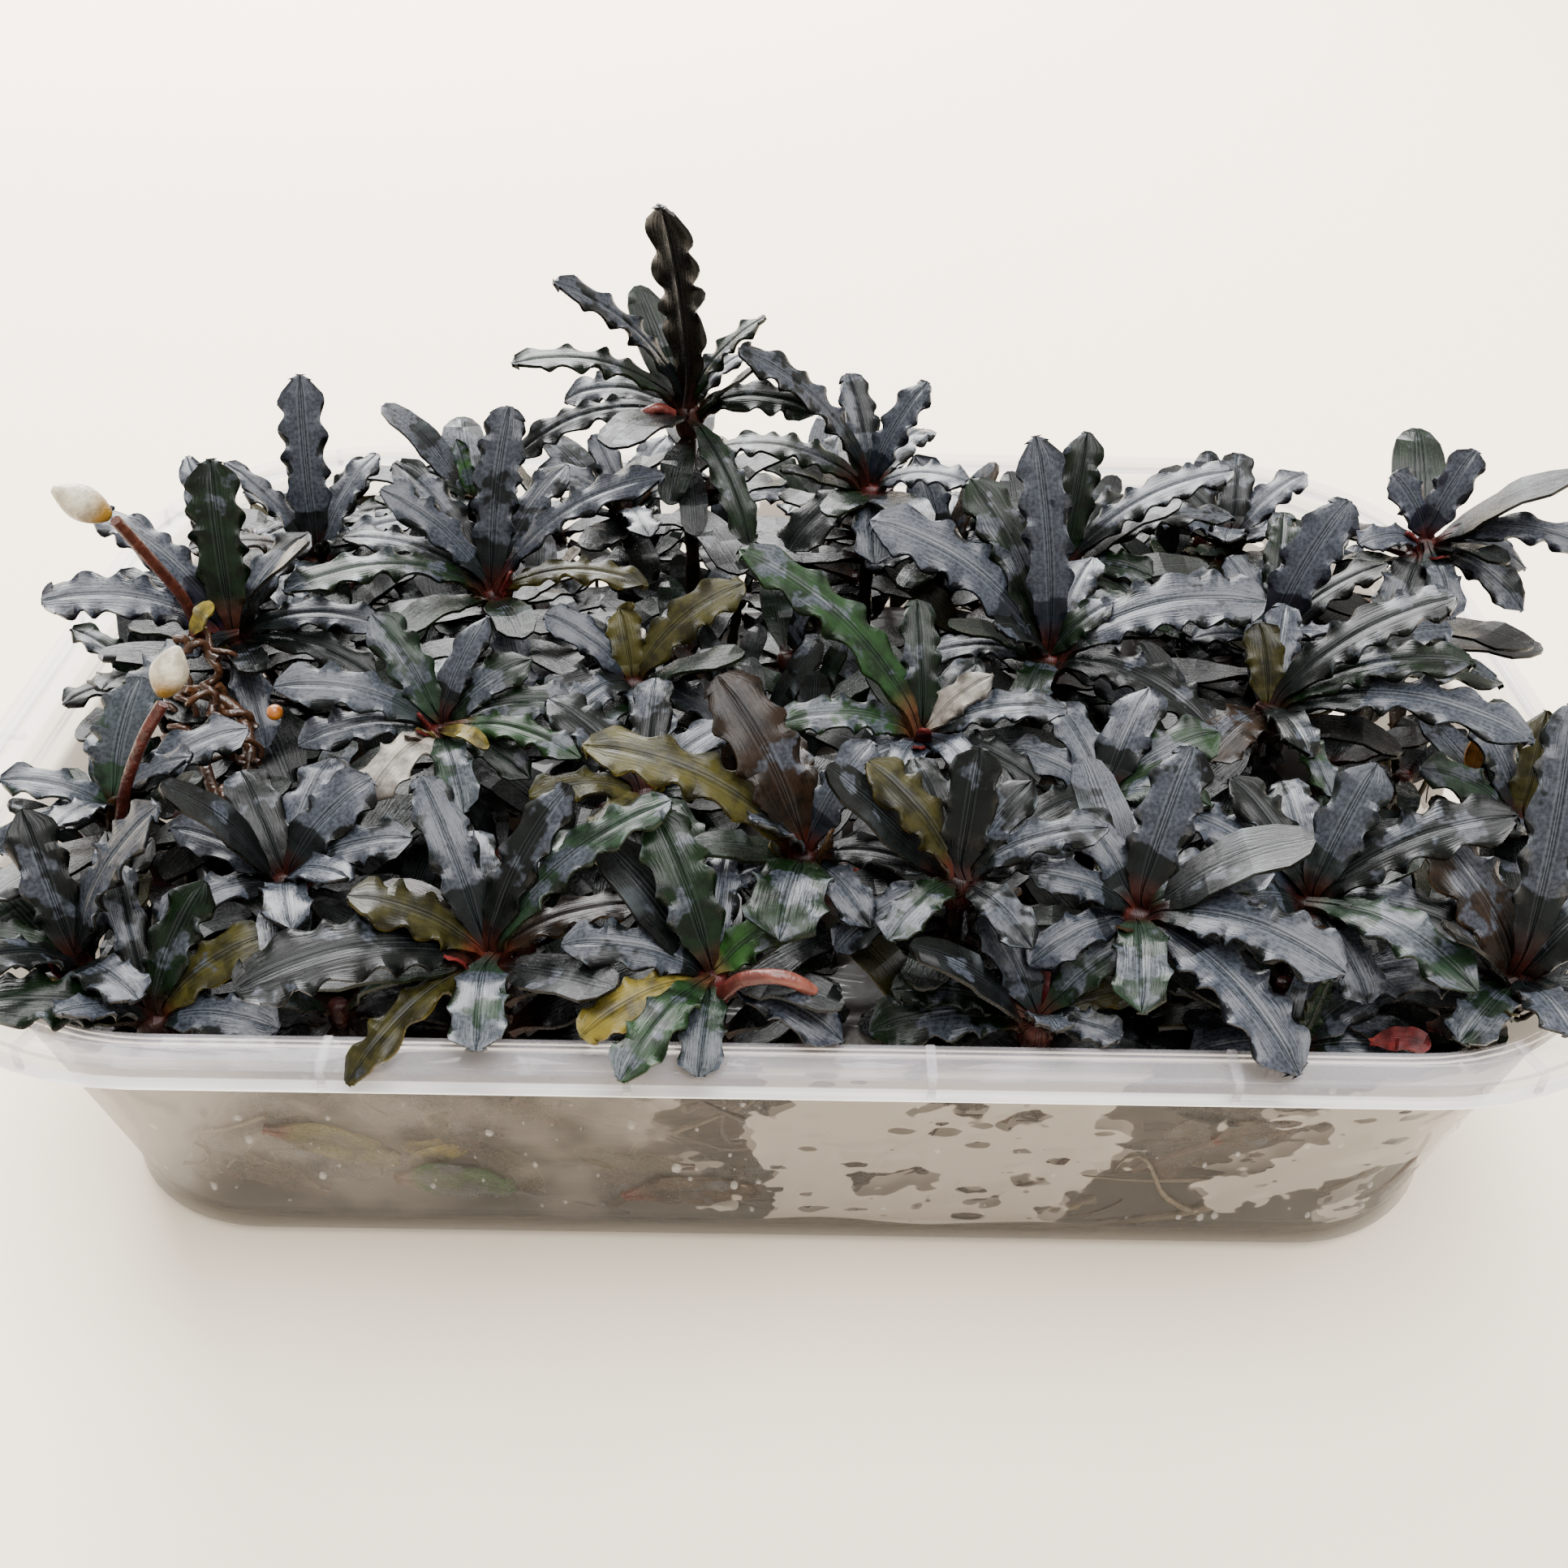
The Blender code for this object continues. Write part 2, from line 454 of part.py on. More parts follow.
def ring_order(base, ring):
    """The order of the ring's corners that twists least from the base triangle."""
    orders = [ring[shift:] + ring[:shift] for shift in range(3)]
    return min(orders, key=lambda order: sum((a - b).length for a, b in zip(base, order)))


def swell(ring, amount):
    middle = (ring[0] + ring[1] + ring[2]) / 3
    return [point + (point - middle).normalized() * amount for point in ring]


def leaf_skin(base, rings, tip):
    """Points and triangles of a leaf: each side between two rings folds outward."""
    points = list(base)
    for ring in rings:
        points += ring_order(points[-3:], ring)
    faces = []
    for start in range(0, len(points) - 3, 3):
        for k in range(3):
            a, b = start + k, start + (k + 1) % 3
            c, d = b + 3, a + 3
            outward = (points[c] - points[a]).cross(points[d] - points[b])
            if (points[a] + points[c] - points[b] - points[d]).dot(outward) > 0:
                faces += [(a, b, c), (a, c, d)]
            else:
                faces += [(a, b, d), (b, c, d)]
    last = len(points)
    faces += [(last - 3, last - 2, last), (last - 2, last - 1, last), (last - 1, last - 3, last)]
    return points + [tip], faces


def swollen_tree(base, rings, tip, amount):
    """A search tree of a leaf that is thicker and longer by an amount."""
    longer = tip + (tip - rings[-1][2]).normalized() * amount
    return BVHTree.FromPolygons(*leaf_skin(base, [swell(ring, amount) for ring in rings], longer))


def loose_tree(points, faces):
    """A search tree of triangles drawn in a little, so that neighbours don't meet."""
    corners = []
    for face in faces:
        middle = sum((points[index] for index in face), Vector()) / 3
        corners += [middle + (points[index] - middle) * LOOSE for index in face]
    return BVHTree.FromPolygons(corners, [(k, k + 1, k + 2) for k in range(0, len(corners), 3)])


def plant_body(place, foot):
    """A round crown on a tapered stem that ends at its foot."""
    bm = bmesh.new()
    bmesh.ops.create_icosphere(bm, subdivisions=1, radius=CROWN_RADIUS)
    lowest = min(bm.verts, key=lambda vert: vert.co.z)
    ring = [edge.other_vert(lowest) for edge in lowest.link_edges]
    ring.sort(key=lambda vert: math.atan2(vert.co.y, vert.co.x))
    bmesh.ops.delete(bm, geom=[lowest], context="VERTS")
    bmesh.ops.translate(bm, vec=place, verts=bm.verts)
    neck = place - Vector((0, 0, CROWN_RADIUS))
    previous = neck
    for down, thick in STEM_RINGS:
        centre = neck.lerp(foot, down)
        upper = [bm.edges.get((a, b)) for a, b in zip(ring, ring[1:] + ring[:1])]
        made = bmesh.ops.extrude_edge_only(bm, edges=upper)
        fresh = [item for item in made["geom"] if isinstance(item, bmesh.types.BMVert)]
        for vert in fresh:
            outward = vert.co - previous
            outward.z = 0
            vert.co = centre + outward.normalized() * STEM_RADIUS * thick
        previous = centre
        ring = sorted(fresh, key=lambda vert: math.atan2(vert.co.y - centre.y, vert.co.x - centre.x))
    end = bm.verts.new(foot)
    for a, b in zip(ring, ring[1:] + ring[:1]):
        bm.faces.new((a, b, end))
    bmesh.ops.triangulate(bm, faces=bm.faces)
    bmesh.ops.recalc_face_normals(bm, faces=bm.faces)
    return bm


def object_tree(item):
    """The object's corners in millimetres and a search tree of its faces."""
    points = [vert.co / MM for vert in item.data.vertices]
    return points, BVHTree.FromPolygons(points, [tuple(face.vertices) for face in item.data.polygons])


class Clearance:
    """The faces of everything placed so far, to keep the next leaf clear of them."""

    def __init__(self):
        self.placed = []

    def add(self, tree, centre, reach, owner):
        self.placed.append((tree, centre, reach, owner))

    def add_object(self, item):
        points, tree = object_tree(item)
        centre = sum(points, Vector()) / len(points)
        self.add(tree, centre, max((point - centre).length for point in points), None)

    def add_body(self, bm, centre, owner):
        reach = max((vert.co - centre).length for vert in bm.verts)
        self.add(BVHTree.FromBMesh(bm), centre, reach, owner)

    def is_free(self, wide, tight, centre, reach, owner):
        for tree, other, other_reach, other_owner in self.placed:
            if other_owner == owner + BODY or (other - centre).length > reach + other_reach + GAP:
                continue
            if (tight if other_owner == owner else wide).overlap(tree):
                return False
        return True


def nudged(leaf):
    """The leaf as drawn, then turned, lifted and shortened more and more."""
    heading, rise, length, width = leaf
    for index in range(TRIES):
        reach = math.sqrt(index / TRIES)
        angle = index * GOLDEN_ANGLE
        shorter = 1 - SHORTEN * reach * (0.5 + 0.5 * math.sin(1.7 * angle))
        yield (heading + TURN * reach * math.cos(angle), rise + LIFT * reach * math.sin(angle),
               length * shorter, width * (1 - NARROW * reach))


def grow_leaf(bm, faces, crown, leaf, clearance, owner, seed):
    """Grow one leaf out of a face of the crown where it clears everything placed so far."""
    along = leaf_axes(*leaf[:2])[0]
    nearest = sorted(faces, key=lambda item: -item.normal.dot(along))[:BASE_CHOICES]
    grown = BVHTree.FromBMesh(bm)
    for choice, face in itertools.product(nudged(leaf), nearest):
        rings, tip = leaf_rings(crown, choice, random.Random(seed))
        base = [vert.co.copy() for vert in face.verts]
        points, skin = leaf_skin(base, rings, tip)
        probe = loose_tree(points, skin)
        if probe.overlap(grown) or any(one < other for one, other in probe.overlap(probe)):
            continue
        middle = sum(base, Vector()) / 3
        drawn_in = [middle + (point - middle) * BASE_IN + along * BASE_AHEAD for point in base]
        centre, reach = (crown + tip) / 2, choice[2] * 0.5 + choice[3]
        wide = swollen_tree(drawn_in, rings, tip, GAP)
        tight = swollen_tree(drawn_in, rings, tip, OWN_GAP)
        if not clearance.is_free(wide, tight, centre, reach, owner):
            continue
        clearance.add(BVHTree.FromPolygons(*leaf_skin(drawn_in, rings, tip)), centre, reach, owner)
        corners = list(face.verts) + [bm.verts.new(point) for point in points[3:]]
        faces.remove(face)
        bm.faces.remove(face)
        for triangle in skin:
            bm.faces.new([corners[index] for index in triangle])
        return
    raise ValueError(f"no clear place for leaf {seed}")


def plants(clearance, ground):
    """All the plants: bodies first, then the leaves in the order of the table."""
    bodies = {}
    for name, (place, _) in PLANTS.items():
        crown = Vector(place)
        x, y = (max(-limit, min(limit, value * shift))
                for value, shift, limit in zip(crown.xy, FOOT_SHIFT, FOOT_LIMIT))
        hit, outward = ground.find_nearest(Vector((x, y, MAT_TOP + 2)))[:2]
        foot = hit + outward * GAP * 1.5
        bodies[name] = plant_body(crown, foot)
        clearance.add_body(bodies[name], (crown + foot) / 2, name + BODY)
    for name, (place, leaves) in PLANTS.items():
        bm = bodies[name]
        crown = Vector(place)
        bm.normal_update()
        lowest = crown.z - CROWN_RADIUS * CROWN_SIDE
        faces = [face for face in bm.faces if face.calc_center_median().z > lowest]
        for index, leaf in enumerate(leaves):
            grow_leaf(bm, faces, crown, leaf, clearance, name, f"{name} {index}")
            bm.normal_update()
        finish(bm, name, "leaf")


def main():
    clear_scene()
    clearance = Clearance()
    pieces = [tub(), water()]
    mat = root_mat()
    pieces.append(mat)
    pieces += [stone(name, *values) for name, values in STONES.items()]
    pieces += [fallen_leaf(name, *values) for name, values in FALLEN_LEAVES.items()]
    pieces += [stalk(name, *values) for name, values in STALKS.items()]
    pieces += [bud(name, *values) for name, values in BUDS.items()]
    pieces.append(berry())
    for piece in pieces:
        clearance.add_object(piece)
    plants(clearance, object_tree(mat)[1])


main()
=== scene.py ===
"""Looks of a dense clump of bucephalandra in a low clear tub: leaves, stems, roots, buds, tub and water.

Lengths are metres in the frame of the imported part. The camera looks along +Y and down on the front wall.
"""

import json
import math
import random

import bmesh
import bpy
import numpy as np
from mathutils import Matrix, Vector
from mathutils.bvhtree import BVHTree

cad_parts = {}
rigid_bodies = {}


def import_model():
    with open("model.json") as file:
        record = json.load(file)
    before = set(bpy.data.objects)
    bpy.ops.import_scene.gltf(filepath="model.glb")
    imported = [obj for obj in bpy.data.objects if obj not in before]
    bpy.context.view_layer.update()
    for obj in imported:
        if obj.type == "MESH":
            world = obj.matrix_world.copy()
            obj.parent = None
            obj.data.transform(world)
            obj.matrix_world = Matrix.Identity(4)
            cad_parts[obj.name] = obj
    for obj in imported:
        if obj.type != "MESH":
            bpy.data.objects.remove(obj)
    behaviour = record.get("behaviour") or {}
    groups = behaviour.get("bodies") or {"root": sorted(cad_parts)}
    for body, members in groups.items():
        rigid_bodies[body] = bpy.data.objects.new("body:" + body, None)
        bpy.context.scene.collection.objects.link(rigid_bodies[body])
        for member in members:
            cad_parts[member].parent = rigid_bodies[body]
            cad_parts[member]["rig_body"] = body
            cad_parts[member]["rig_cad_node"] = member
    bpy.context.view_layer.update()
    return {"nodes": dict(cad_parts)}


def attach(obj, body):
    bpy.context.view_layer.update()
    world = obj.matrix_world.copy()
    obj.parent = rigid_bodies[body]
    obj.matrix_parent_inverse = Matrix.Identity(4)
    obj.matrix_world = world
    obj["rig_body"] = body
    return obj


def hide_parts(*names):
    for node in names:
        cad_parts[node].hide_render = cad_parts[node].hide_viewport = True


MM = 0.001
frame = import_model()
NODES = frame["nodes"]

CAMERA_PLACE = Vector((0, -0.1466, 0.1388))
CAMERA_TILT = math.radians(52.4)
CAMERA_ROLL = math.radians(0.9)
FOCAL_PIXELS = 1900.0
PICTURE_PIXELS = 1932
SENSOR_WIDTH = 36

# Leaf tones: upper side, underside, petiole, then how much grey film of painted sheen lies on the upper side
TONES = {
    "slate": ((0.0030, 0.0045, 0.0045), (0.008, 0.006, 0.004), (0.026, 0.006, 0.004), 0.62),
    "black": ((0.0018, 0.0028, 0.0024), (0.006, 0.005, 0.003), (0.022, 0.006, 0.004), 0.36),
    "violet": ((0.0055, 0.0055, 0.0100), (0.010, 0.007, 0.008), (0.030, 0.006, 0.005), 0.74),
    "blue": ((0.0050, 0.0070, 0.0110), (0.008, 0.007, 0.007), (0.026, 0.006, 0.004), 0.76),
    "grey": ((0.0140, 0.0190, 0.0190), (0.014, 0.012, 0.010), (0.028, 0.008, 0.005), 0.88),
    "grey_green": ((0.0075, 0.0170, 0.0085), (0.012, 0.014, 0.006), (0.028, 0.009, 0.005), 0.56),
    "green": ((0.0055, 0.0180, 0.0045), (0.014, 0.024, 0.005), (0.036, 0.014, 0.006), 0.42),
    "bright_green": ((0.0130, 0.0400, 0.0080), (0.022, 0.042, 0.008), (0.060, 0.045, 0.015), 0.36),
    "dark_green": ((0.0022, 0.0070, 0.0020), (0.008, 0.009, 0.003), (0.022, 0.008, 0.005), 0.36),
    "olive": ((0.0240, 0.0210, 0.0045), (0.075, 0.055, 0.009), (0.045, 0.010, 0.005), 0.16),
    "yellow": ((0.0900, 0.0700, 0.0110), (0.120, 0.085, 0.015), (0.045, 0.010, 0.006), 0.08),
    "brown": ((0.0120, 0.0065, 0.0035), (0.032, 0.016, 0.005), (0.040, 0.008, 0.004), 0.35),
    "orange": ((0.2000, 0.0850, 0.0150), (0.230, 0.100, 0.020), (0.150, 0.035, 0.015), 0.05),
    "pale": ((0.1900, 0.1700, 0.1450), (0.190, 0.165, 0.140), (0.100, 0.070, 0.045), 0.15),
    "crimson": ((0.0700, 0.0080, 0.0080), (0.080, 0.010, 0.009), (0.090, 0.011, 0.010), 0.10),
}
# Where the leaves of a special tone lie in the picture, in its pixels
TONE_PLACES = {
    "green": ((1035, 902), (705, 925), (1468, 925), (975, 682), (1660, 1210), (1530, 905), (1630, 915),
              (785, 1348)),
    "bright_green": ((965, 1182), (575, 530), (560, 545), (600, 590)),
    "dark_green": ((1512, 835), (890, 552), (1340, 540)),
    "grey_green": ((175, 850), (28, 975), (112, 915), (592, 1290), (886, 1308), (365, 468)),
    "grey": ((1552, 745), (1085, 630), (1212, 580), (828, 902), (878, 835), (350, 725), (352, 850),
             (455, 760), (640, 828), (1782, 745), (1695, 948)),
    "blue": ((1270, 540), (225, 955), (1130, 922), (1062, 945), (1200, 932)),
    "violet": ((250, 572), (160, 605), (65, 740), (130, 672), (330, 920), (1620, 595), (1645, 620),
               (1550, 665), (1705, 650), (1718, 595), (1815, 562)),
    "black": ((820, 257),),
    "slate": ((690, 340), (1655, 1192), (430, 515)),
    "olive": ((295, 1212), (458, 1118), (702, 975), (812, 968), (742, 1035), (385, 1268), (912, 730),
              (1550, 790), (1375, 1205), (1355, 1240)),
    "brown": ((785, 1090), (1500, 920), (1790, 1080)),
    "yellow": ((718, 1283),),
    "pale": ((1210, 845), (467, 965)),
}
# The tones of the other leaves and of the low ones, each with its weight in the draw
COMMON_TONES = {"slate": 40, "black": 26, "dark_green": 17, "olive": 2, "blue": 9, "grey_green": 4,
                "brown": 2}
LOW_TONES = {"black": 46, "dark_green": 30, "slate": 18, "olive": 3, "brown": 3}
PLANT_NAMES = sorted(name for name in NODES if name.startswith("plant_"))
# How red the crowns of single plants are, from 0 to 1, and the others
RED_CROWNS = {"plant_03": 0.9, "plant_05": 0.8, "plant_06": 0.8, "plant_02": 1.0, "plant_10": 1.0,
              "plant_11": 1.0, "plant_14": 0.6, "plant_15": 0.9, "plant_18": 0.7, "plant_19": 0.9,
              "plant_12": 0.9, "plant_21": 0.9}
OTHER_CROWNS = 0.25

# How far a leaf is rolled to show its upper side to the viewer, and its width beside its solid's
VIEWER_ROLL = 0.35
LEAF_SLIMNESS = 0.90

# The tub in millimetres: length, width and corner radius of its rim and its base, then heights and insets
TUB_RIM = (172.0, 120.0, 31.0)
TUB_BASE = (145.0, 92.0, 18.0)
TUB_TOP = 41.0
FLARE = 39.0
WALL_INSET = 5.0
WALL_THICKNESS = 0.9
TUB_CORNER_STEPS = 14
RIM_RIBS = 20

# Blades: thickness and depth of the midrib in millimetres, points of a spine, lengths that end a size
BLADE_THICKNESS = 0.34
MIDRIB_DEPTH = 0.14
SPINE_STEPS = 25
SHORT_LEAF = 13 * MM
MIDDLE_LEAF = 19 * MM

# How a leaf is found by its place: the points of its spine that are tried, the one that gives its distance
# from the camera, and how many pixels off its place are worth a metre of distance
SEEN_POINTS = (10, 13, 16, 19)
MIDDLE_POINT = 14
PIXELS_PER_DEPTH = 300

# Growth: leaves added to a plant and to a shoot, the grid of the search for bare spots and their spacing,
# the level of the shoots' feet, start and reach of the rays that look down, and the merging distance
LOW_LEAVES = 14
SHOOT_LEAVES = 8
SPOT_GRID = 3.2 * MM
SPOT_SPACING = 7.5 * MM
ROOT_FLOOR = 0.024
RAY_START = 0.2
RAY_REACH = 0.172
MERGE = 1e-6


# Tools for the work in edit mode

def deselect_all():
    bpy.ops.object.select_all(action="DESELECT")


def active(item):
    deselect_all()
    item.select_set(True)
    bpy.context.view_layer.objects.active = item
    return item


def pick(item, test, kind="VERT"):
    """Select the corners, or the faces by their middle, that pass the test in edit mode."""
    bpy.context.tool_settings.mesh_select_mode = (kind == "VERT", False, kind == "FACE")
    bm = bmesh.from_edit_mesh(item.data)
    for part in (*bm.verts, *bm.edges, *bm.faces):
        part.select = False
    if kind == "VERT":
        for vert in bm.verts:
            vert.select = bool(test(vert.co))
        bm.select_flush_mode()
    else:
        for face in bm.faces:
            if test(face.calc_center_median()):
                face.select_set(True)
    bmesh.update_edit_mesh(item.data, loop_triangles=False, destructive=False)


def edit(item):
    active(item)
    bpy.ops.object.mode_set(mode="EDIT")


def leave_edit():
    bpy.ops.object.mode_set(mode="OBJECT")


def settle(item, name):
    """Name the piece and put its place, turn and scale into its mesh."""
    active(item)
    bpy.ops.object.transform_apply(location=True, rotation=True, scale=True)
    item.name = item.data.name = name
    return item


def smooth(item, degrees):
    """Shade the piece smooth over every edge flatter than an angle."""
    active(item)
    bpy.ops.object.shade_smooth_by_angle(angle=math.radians(degrees))
    return item


def finish_form(item, degrees):
    """Turn the faces outward, leave edit mode and shade the piece."""
    bpy.ops.mesh.select_all(action="SELECT")
    bpy.ops.mesh.normals_make_consistent(inside=False)
    leave_edit()
    return smooth(item, degrees)


def copy_of(form, name):
    """A copy of a piece with its own mesh."""
    item = form.copy()
    item.data = form.data.copy()
    item.name = item.data.name = name
    bpy.context.collection.objects.link(item)
    return item


def corners_of(item):
    """The corners of a mesh, one row each."""
    place = np.empty(len(item.data.vertices) * 3, dtype=np.float32)
    item.data.vertices.foreach_get("co", place)
    return place.reshape(-1, 3)


def with_alpha(colours):
    return np.concatenate([colours, np.ones((len(colours), 1))], axis=1).astype(np.float32).ravel()


def brighten(item, factor):
    """Scale the tones of a painted piece."""
    tint = item.data.attributes["tone"]
    colours = np.empty(len(item.data.vertices) * 4, dtype=np.float32)
    tint.data.foreach_get("color", colours)
    tint.data.foreach_set("color", colours * factor)


def present(item, slot_name, finish, *replaced):
    """Give a finished piece its finish, its body and the nodes it replaces; its slot name is not used."""
    item.data.materials.clear()
    item.data.materials.append(finish)
    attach(item, "root")
    if replaced:
        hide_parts(*replaced)


def join(items, name):
    deselect_all()
    for item in items:
        item.select_set(True)
    bpy.context.view_layer.objects.active = items[0]
    bpy.ops.object.join()
    items[0].name = items[0].data.name = name
    return items[0]


# Finishes

def shader_of(name):
    finish = bpy.data.materials.new(name)
    finish.use_nodes = True
    return finish, finish.node_tree, finish.node_tree.nodes["Principled BSDF"]


def add(tree, kind, *sources, **settings):
    """A node with its settings, fed by sockets or numbers in order of its inputs."""
    node = tree.nodes.new(kind)
    for key, value in settings.items():
        setattr(node, key, value)
    for index, source in enumerate(sources):
        if source is None:
            continue
        if isinstance(source, bpy.types.NodeSocket):
            tree.links.new(source, node.inputs[index])
        else:
            node.inputs[index].default_value = source
    return node


def maths(tree, operation, a, b=None, c=None):
    return add(tree, "ShaderNodeMath", a, b, c, operation=operation).outputs[0]


def scaled(tree, colour, share):
    """A colour scaled by a socket or a number."""
    node = add(tree, "ShaderNodeVectorMath", colour, operation="SCALE")
    if isinstance(share, bpy.types.NodeSocket):
        tree.links.new(share, node.inputs["Scale"])
    else:
        node.inputs["Scale"].default_value = share
    return node.outputs[0]


def emboss(tree, shader, height, strength, depth):
    """Raise the skin by a height pattern."""
    relief = add(tree, "ShaderNodeBump")
    relief.inputs["Strength"].default_value = strength
    relief.inputs["Distance"].default_value = depth
    tree.links.new(height, relief.inputs["Height"])
    tree.links.new(relief.outputs[0], shader.inputs["Normal"])


def ramp(tree, value, low, high):
    """0 below low, 1 above high, smooth between."""
    node = add(tree, "ShaderNodeMapRange", value, low, high, 0.0, 1.0)
    node.interpolation_type = "SMOOTHSTEP"
    return node.outputs[0]


def blend(tree, share, a, b):
    """Mix two colours by a share."""
    node = tree.nodes.new("ShaderNodeMix")
    node.data_type = "RGBA"
    for socket, source in ((node.inputs[0], share), (node.inputs[6], a), (node.inputs[7], b)):
        if isinstance(source, bpy.types.NodeSocket):
            tree.links.new(source, socket)
        else:
            socket.default_value = (*source, 1.0) if isinstance(source, tuple) else source
    return node.outputs[2]


def noise_of(tree, vector, scale, detail=2.0, rough=0.5):
    node = add(tree, "ShaderNodeTexNoise", vector)
    node.inputs["Scale"].default_value = scale
    node.inputs["Detail"].default_value = detail
    node.inputs["Roughness"].default_value = rough
    return node.outputs[0]


# Colours of the leaf skin: the painted highlight on raised edges, the two greys of the film of painted
# sheen, and the veins
CREST_HIGHLIGHT = (0.10, 0.115, 0.125)
PAINTED_SHEEN_GREYS = ((0.014, 0.017, 0.023), (0.043, 0.049, 0.064))
DARK_VEIN = (0.0015, 0.002, 0.002)
PALE_VEIN = (0.075, 0.088, 0.100)


def leaf_finish():
    """Satin leaf skin: the tone of each leaf under a patchy grey film of painted sheen, with veins beside
    the midrib.
    """
    finish, tree, shader = shader_of("leaf_skin")
    place = add(tree, "ShaderNodeTexCoord").outputs["Object"]
    tone = add(tree, "ShaderNodeAttribute", attribute_name="tone").outputs["Color"]
    painted_sheen = add(tree, "ShaderNodeAttribute", attribute_name="painted_sheen").outputs["Fac"]
    blade = add(tree, "ShaderNodeSeparateXYZ", add(tree, "ShaderNodeUVMap", uv_map="UVMap").outputs[0])
    along, across = blade.outputs[0], blade.outputs[1]
    side = maths(tree, "ABSOLUTE", maths(tree, "MULTIPLY_ADD", across, 2.0, -1.0))
    patches = noise_of(tree, place, 240.0, 3.0, 0.6)
    grain = noise_of(tree, place, 2600.0, 1.0, 0.6)
    stretched = add(tree, "ShaderNodeCombineXYZ", maths(tree, "MULTIPLY", along, 4.0),
                    maths(tree, "MULTIPLY", across, 30.0), maths(tree, "MULTIPLY", patches, 0.8)).outputs[0]
    fibres = noise_of(tree, stretched, 1.5, 1.0, 0.6)
    # the grey film of painted sheen lies in patches with clear edges and leaves the base and the hollows of
    # the margin bare
    cover = maths(tree, "MULTIPLY_ADD", patches, 1.5, maths(tree, "ADD", painted_sheen, -0.80))
    cover = ramp(tree, cover, 0.36, 0.46)
    # veins run beside the midrib as dark and pale lines that fade toward the margin
    wobble = maths(tree, "MULTIPLY", fibres, 0.9)
    lines = maths(tree, "COSINE", maths(tree, "MULTIPLY_ADD", side, 34.0, wobble))
    fade = maths(tree, "SUBTRACT", 1.0, ramp(tree, side, 0.12, 0.44))
    dark_line = maths(tree, "MULTIPLY", ramp(tree, lines, 0.15, 0.9), fade)
    pale_line = maths(tree, "MULTIPLY", ramp(tree, maths(tree, "MULTIPLY", lines, -1.0), 0.35, 0.95), fade)
    grey = blend(tree, ramp(tree, grain, 0.25, 0.80), *PAINTED_SHEEN_GREYS)
    clouds = ramp(tree, noise_of(tree, place, 420.0, 3.0, 0.6), 0.34, 0.62)
    mottled = scaled(tree, tone, maths(tree, "MULTIPLY_ADD", clouds, 0.85, 0.35))
    sheened = blend(tree, maths(tree, "MULTIPLY", cover, 0.82), mottled, grey)
    lined = blend(tree, maths(tree, "MULTIPLY", dark_line, 0.80), sheened, DARK_VEIN)
    # the pale veins are brighter where the painted sheen lies
    lit = maths(tree, "MULTIPLY", pale_line, maths(tree, "MULTIPLY_ADD", cover, 0.45, 0.12))
    lined = blend(tree, lit, lined, PALE_VEIN)
    tree.links.new(lined, shader.inputs["Base Color"])
    tree.links.new(maths(tree, "MULTIPLY_ADD", grain, 0.25, 0.16), shader.inputs["Roughness"])
    gloss = maths(tree, "MULTIPLY_ADD", cover, 0.12, 0.17)
    gloss = maths(tree, "MULTIPLY_ADD", dark_line, -0.10, gloss)
    tree.links.new(gloss, shader.inputs["Specular IOR Level"])
    emboss(tree, shader, fibres, 0.22, 0.0003)
    return finish


def spotted_finish(name, dark, light, scale, roughness, coat, bump):
    """A finish of two colours in soft blotches with fine grain."""
    finish, tree, shader = shader_of(name)
    place = add(tree, "ShaderNodeTexCoord").outputs["Object"]
    blotches = noise_of(tree, place, scale, 5.0, 0.6)
    share = ramp(tree, blotches, 0.35, 0.65)
    tree.links.new(blend(tree, share, dark, light), shader.inputs["Base Color"])
    shader.inputs["Roughness"].default_value = roughness
    shader.inputs["Coat Weight"].default_value = coat
    emboss(tree, shader, noise_of(tree, place, scale * 3, 4.0, 0.6), 0.5, bump)
    return finish


def toned_finish(name, roughness, specular):
    """A smooth skin in the piece's own tones, with soft mottles."""
    finish, tree, shader = shader_of(name)
    place = add(tree, "ShaderNodeTexCoord").outputs["Object"]
    tone = add(tree, "ShaderNodeAttribute", attribute_name="tone").outputs["Color"]
    mottle = ramp(tree, noise_of(tree, place, 700.0, 3.0, 0.6), 0.35, 0.68)
    tree.links.new(blend(tree, mottle, scaled(tree, tone, 0.55), tone), shader.inputs["Base Color"])
    shader.inputs["Roughness"].default_value = roughness
    shader.inputs["Specular IOR Level"].default_value = specular
    emboss(tree, shader, mottle, 0.4, 0.0002)
    return finish


# Colours of the tub: bare wall, flange, top of the rim, fog, wet foot, and the painted highlight along the
# edge of the skirt
WALL_COLOUR = (0.13, 0.120, 0.108)
RIM_COLOURS = ((0.17, 0.165, 0.18), (0.58, 0.56, 0.61))
FOG_COLOUR = (0.32, 0.288, 0.255)
FOOT_COLOUR = (0.12, 0.108, 0.09)
EDGE_HIGHLIGHT = (0.98, 0.97, 0.96)


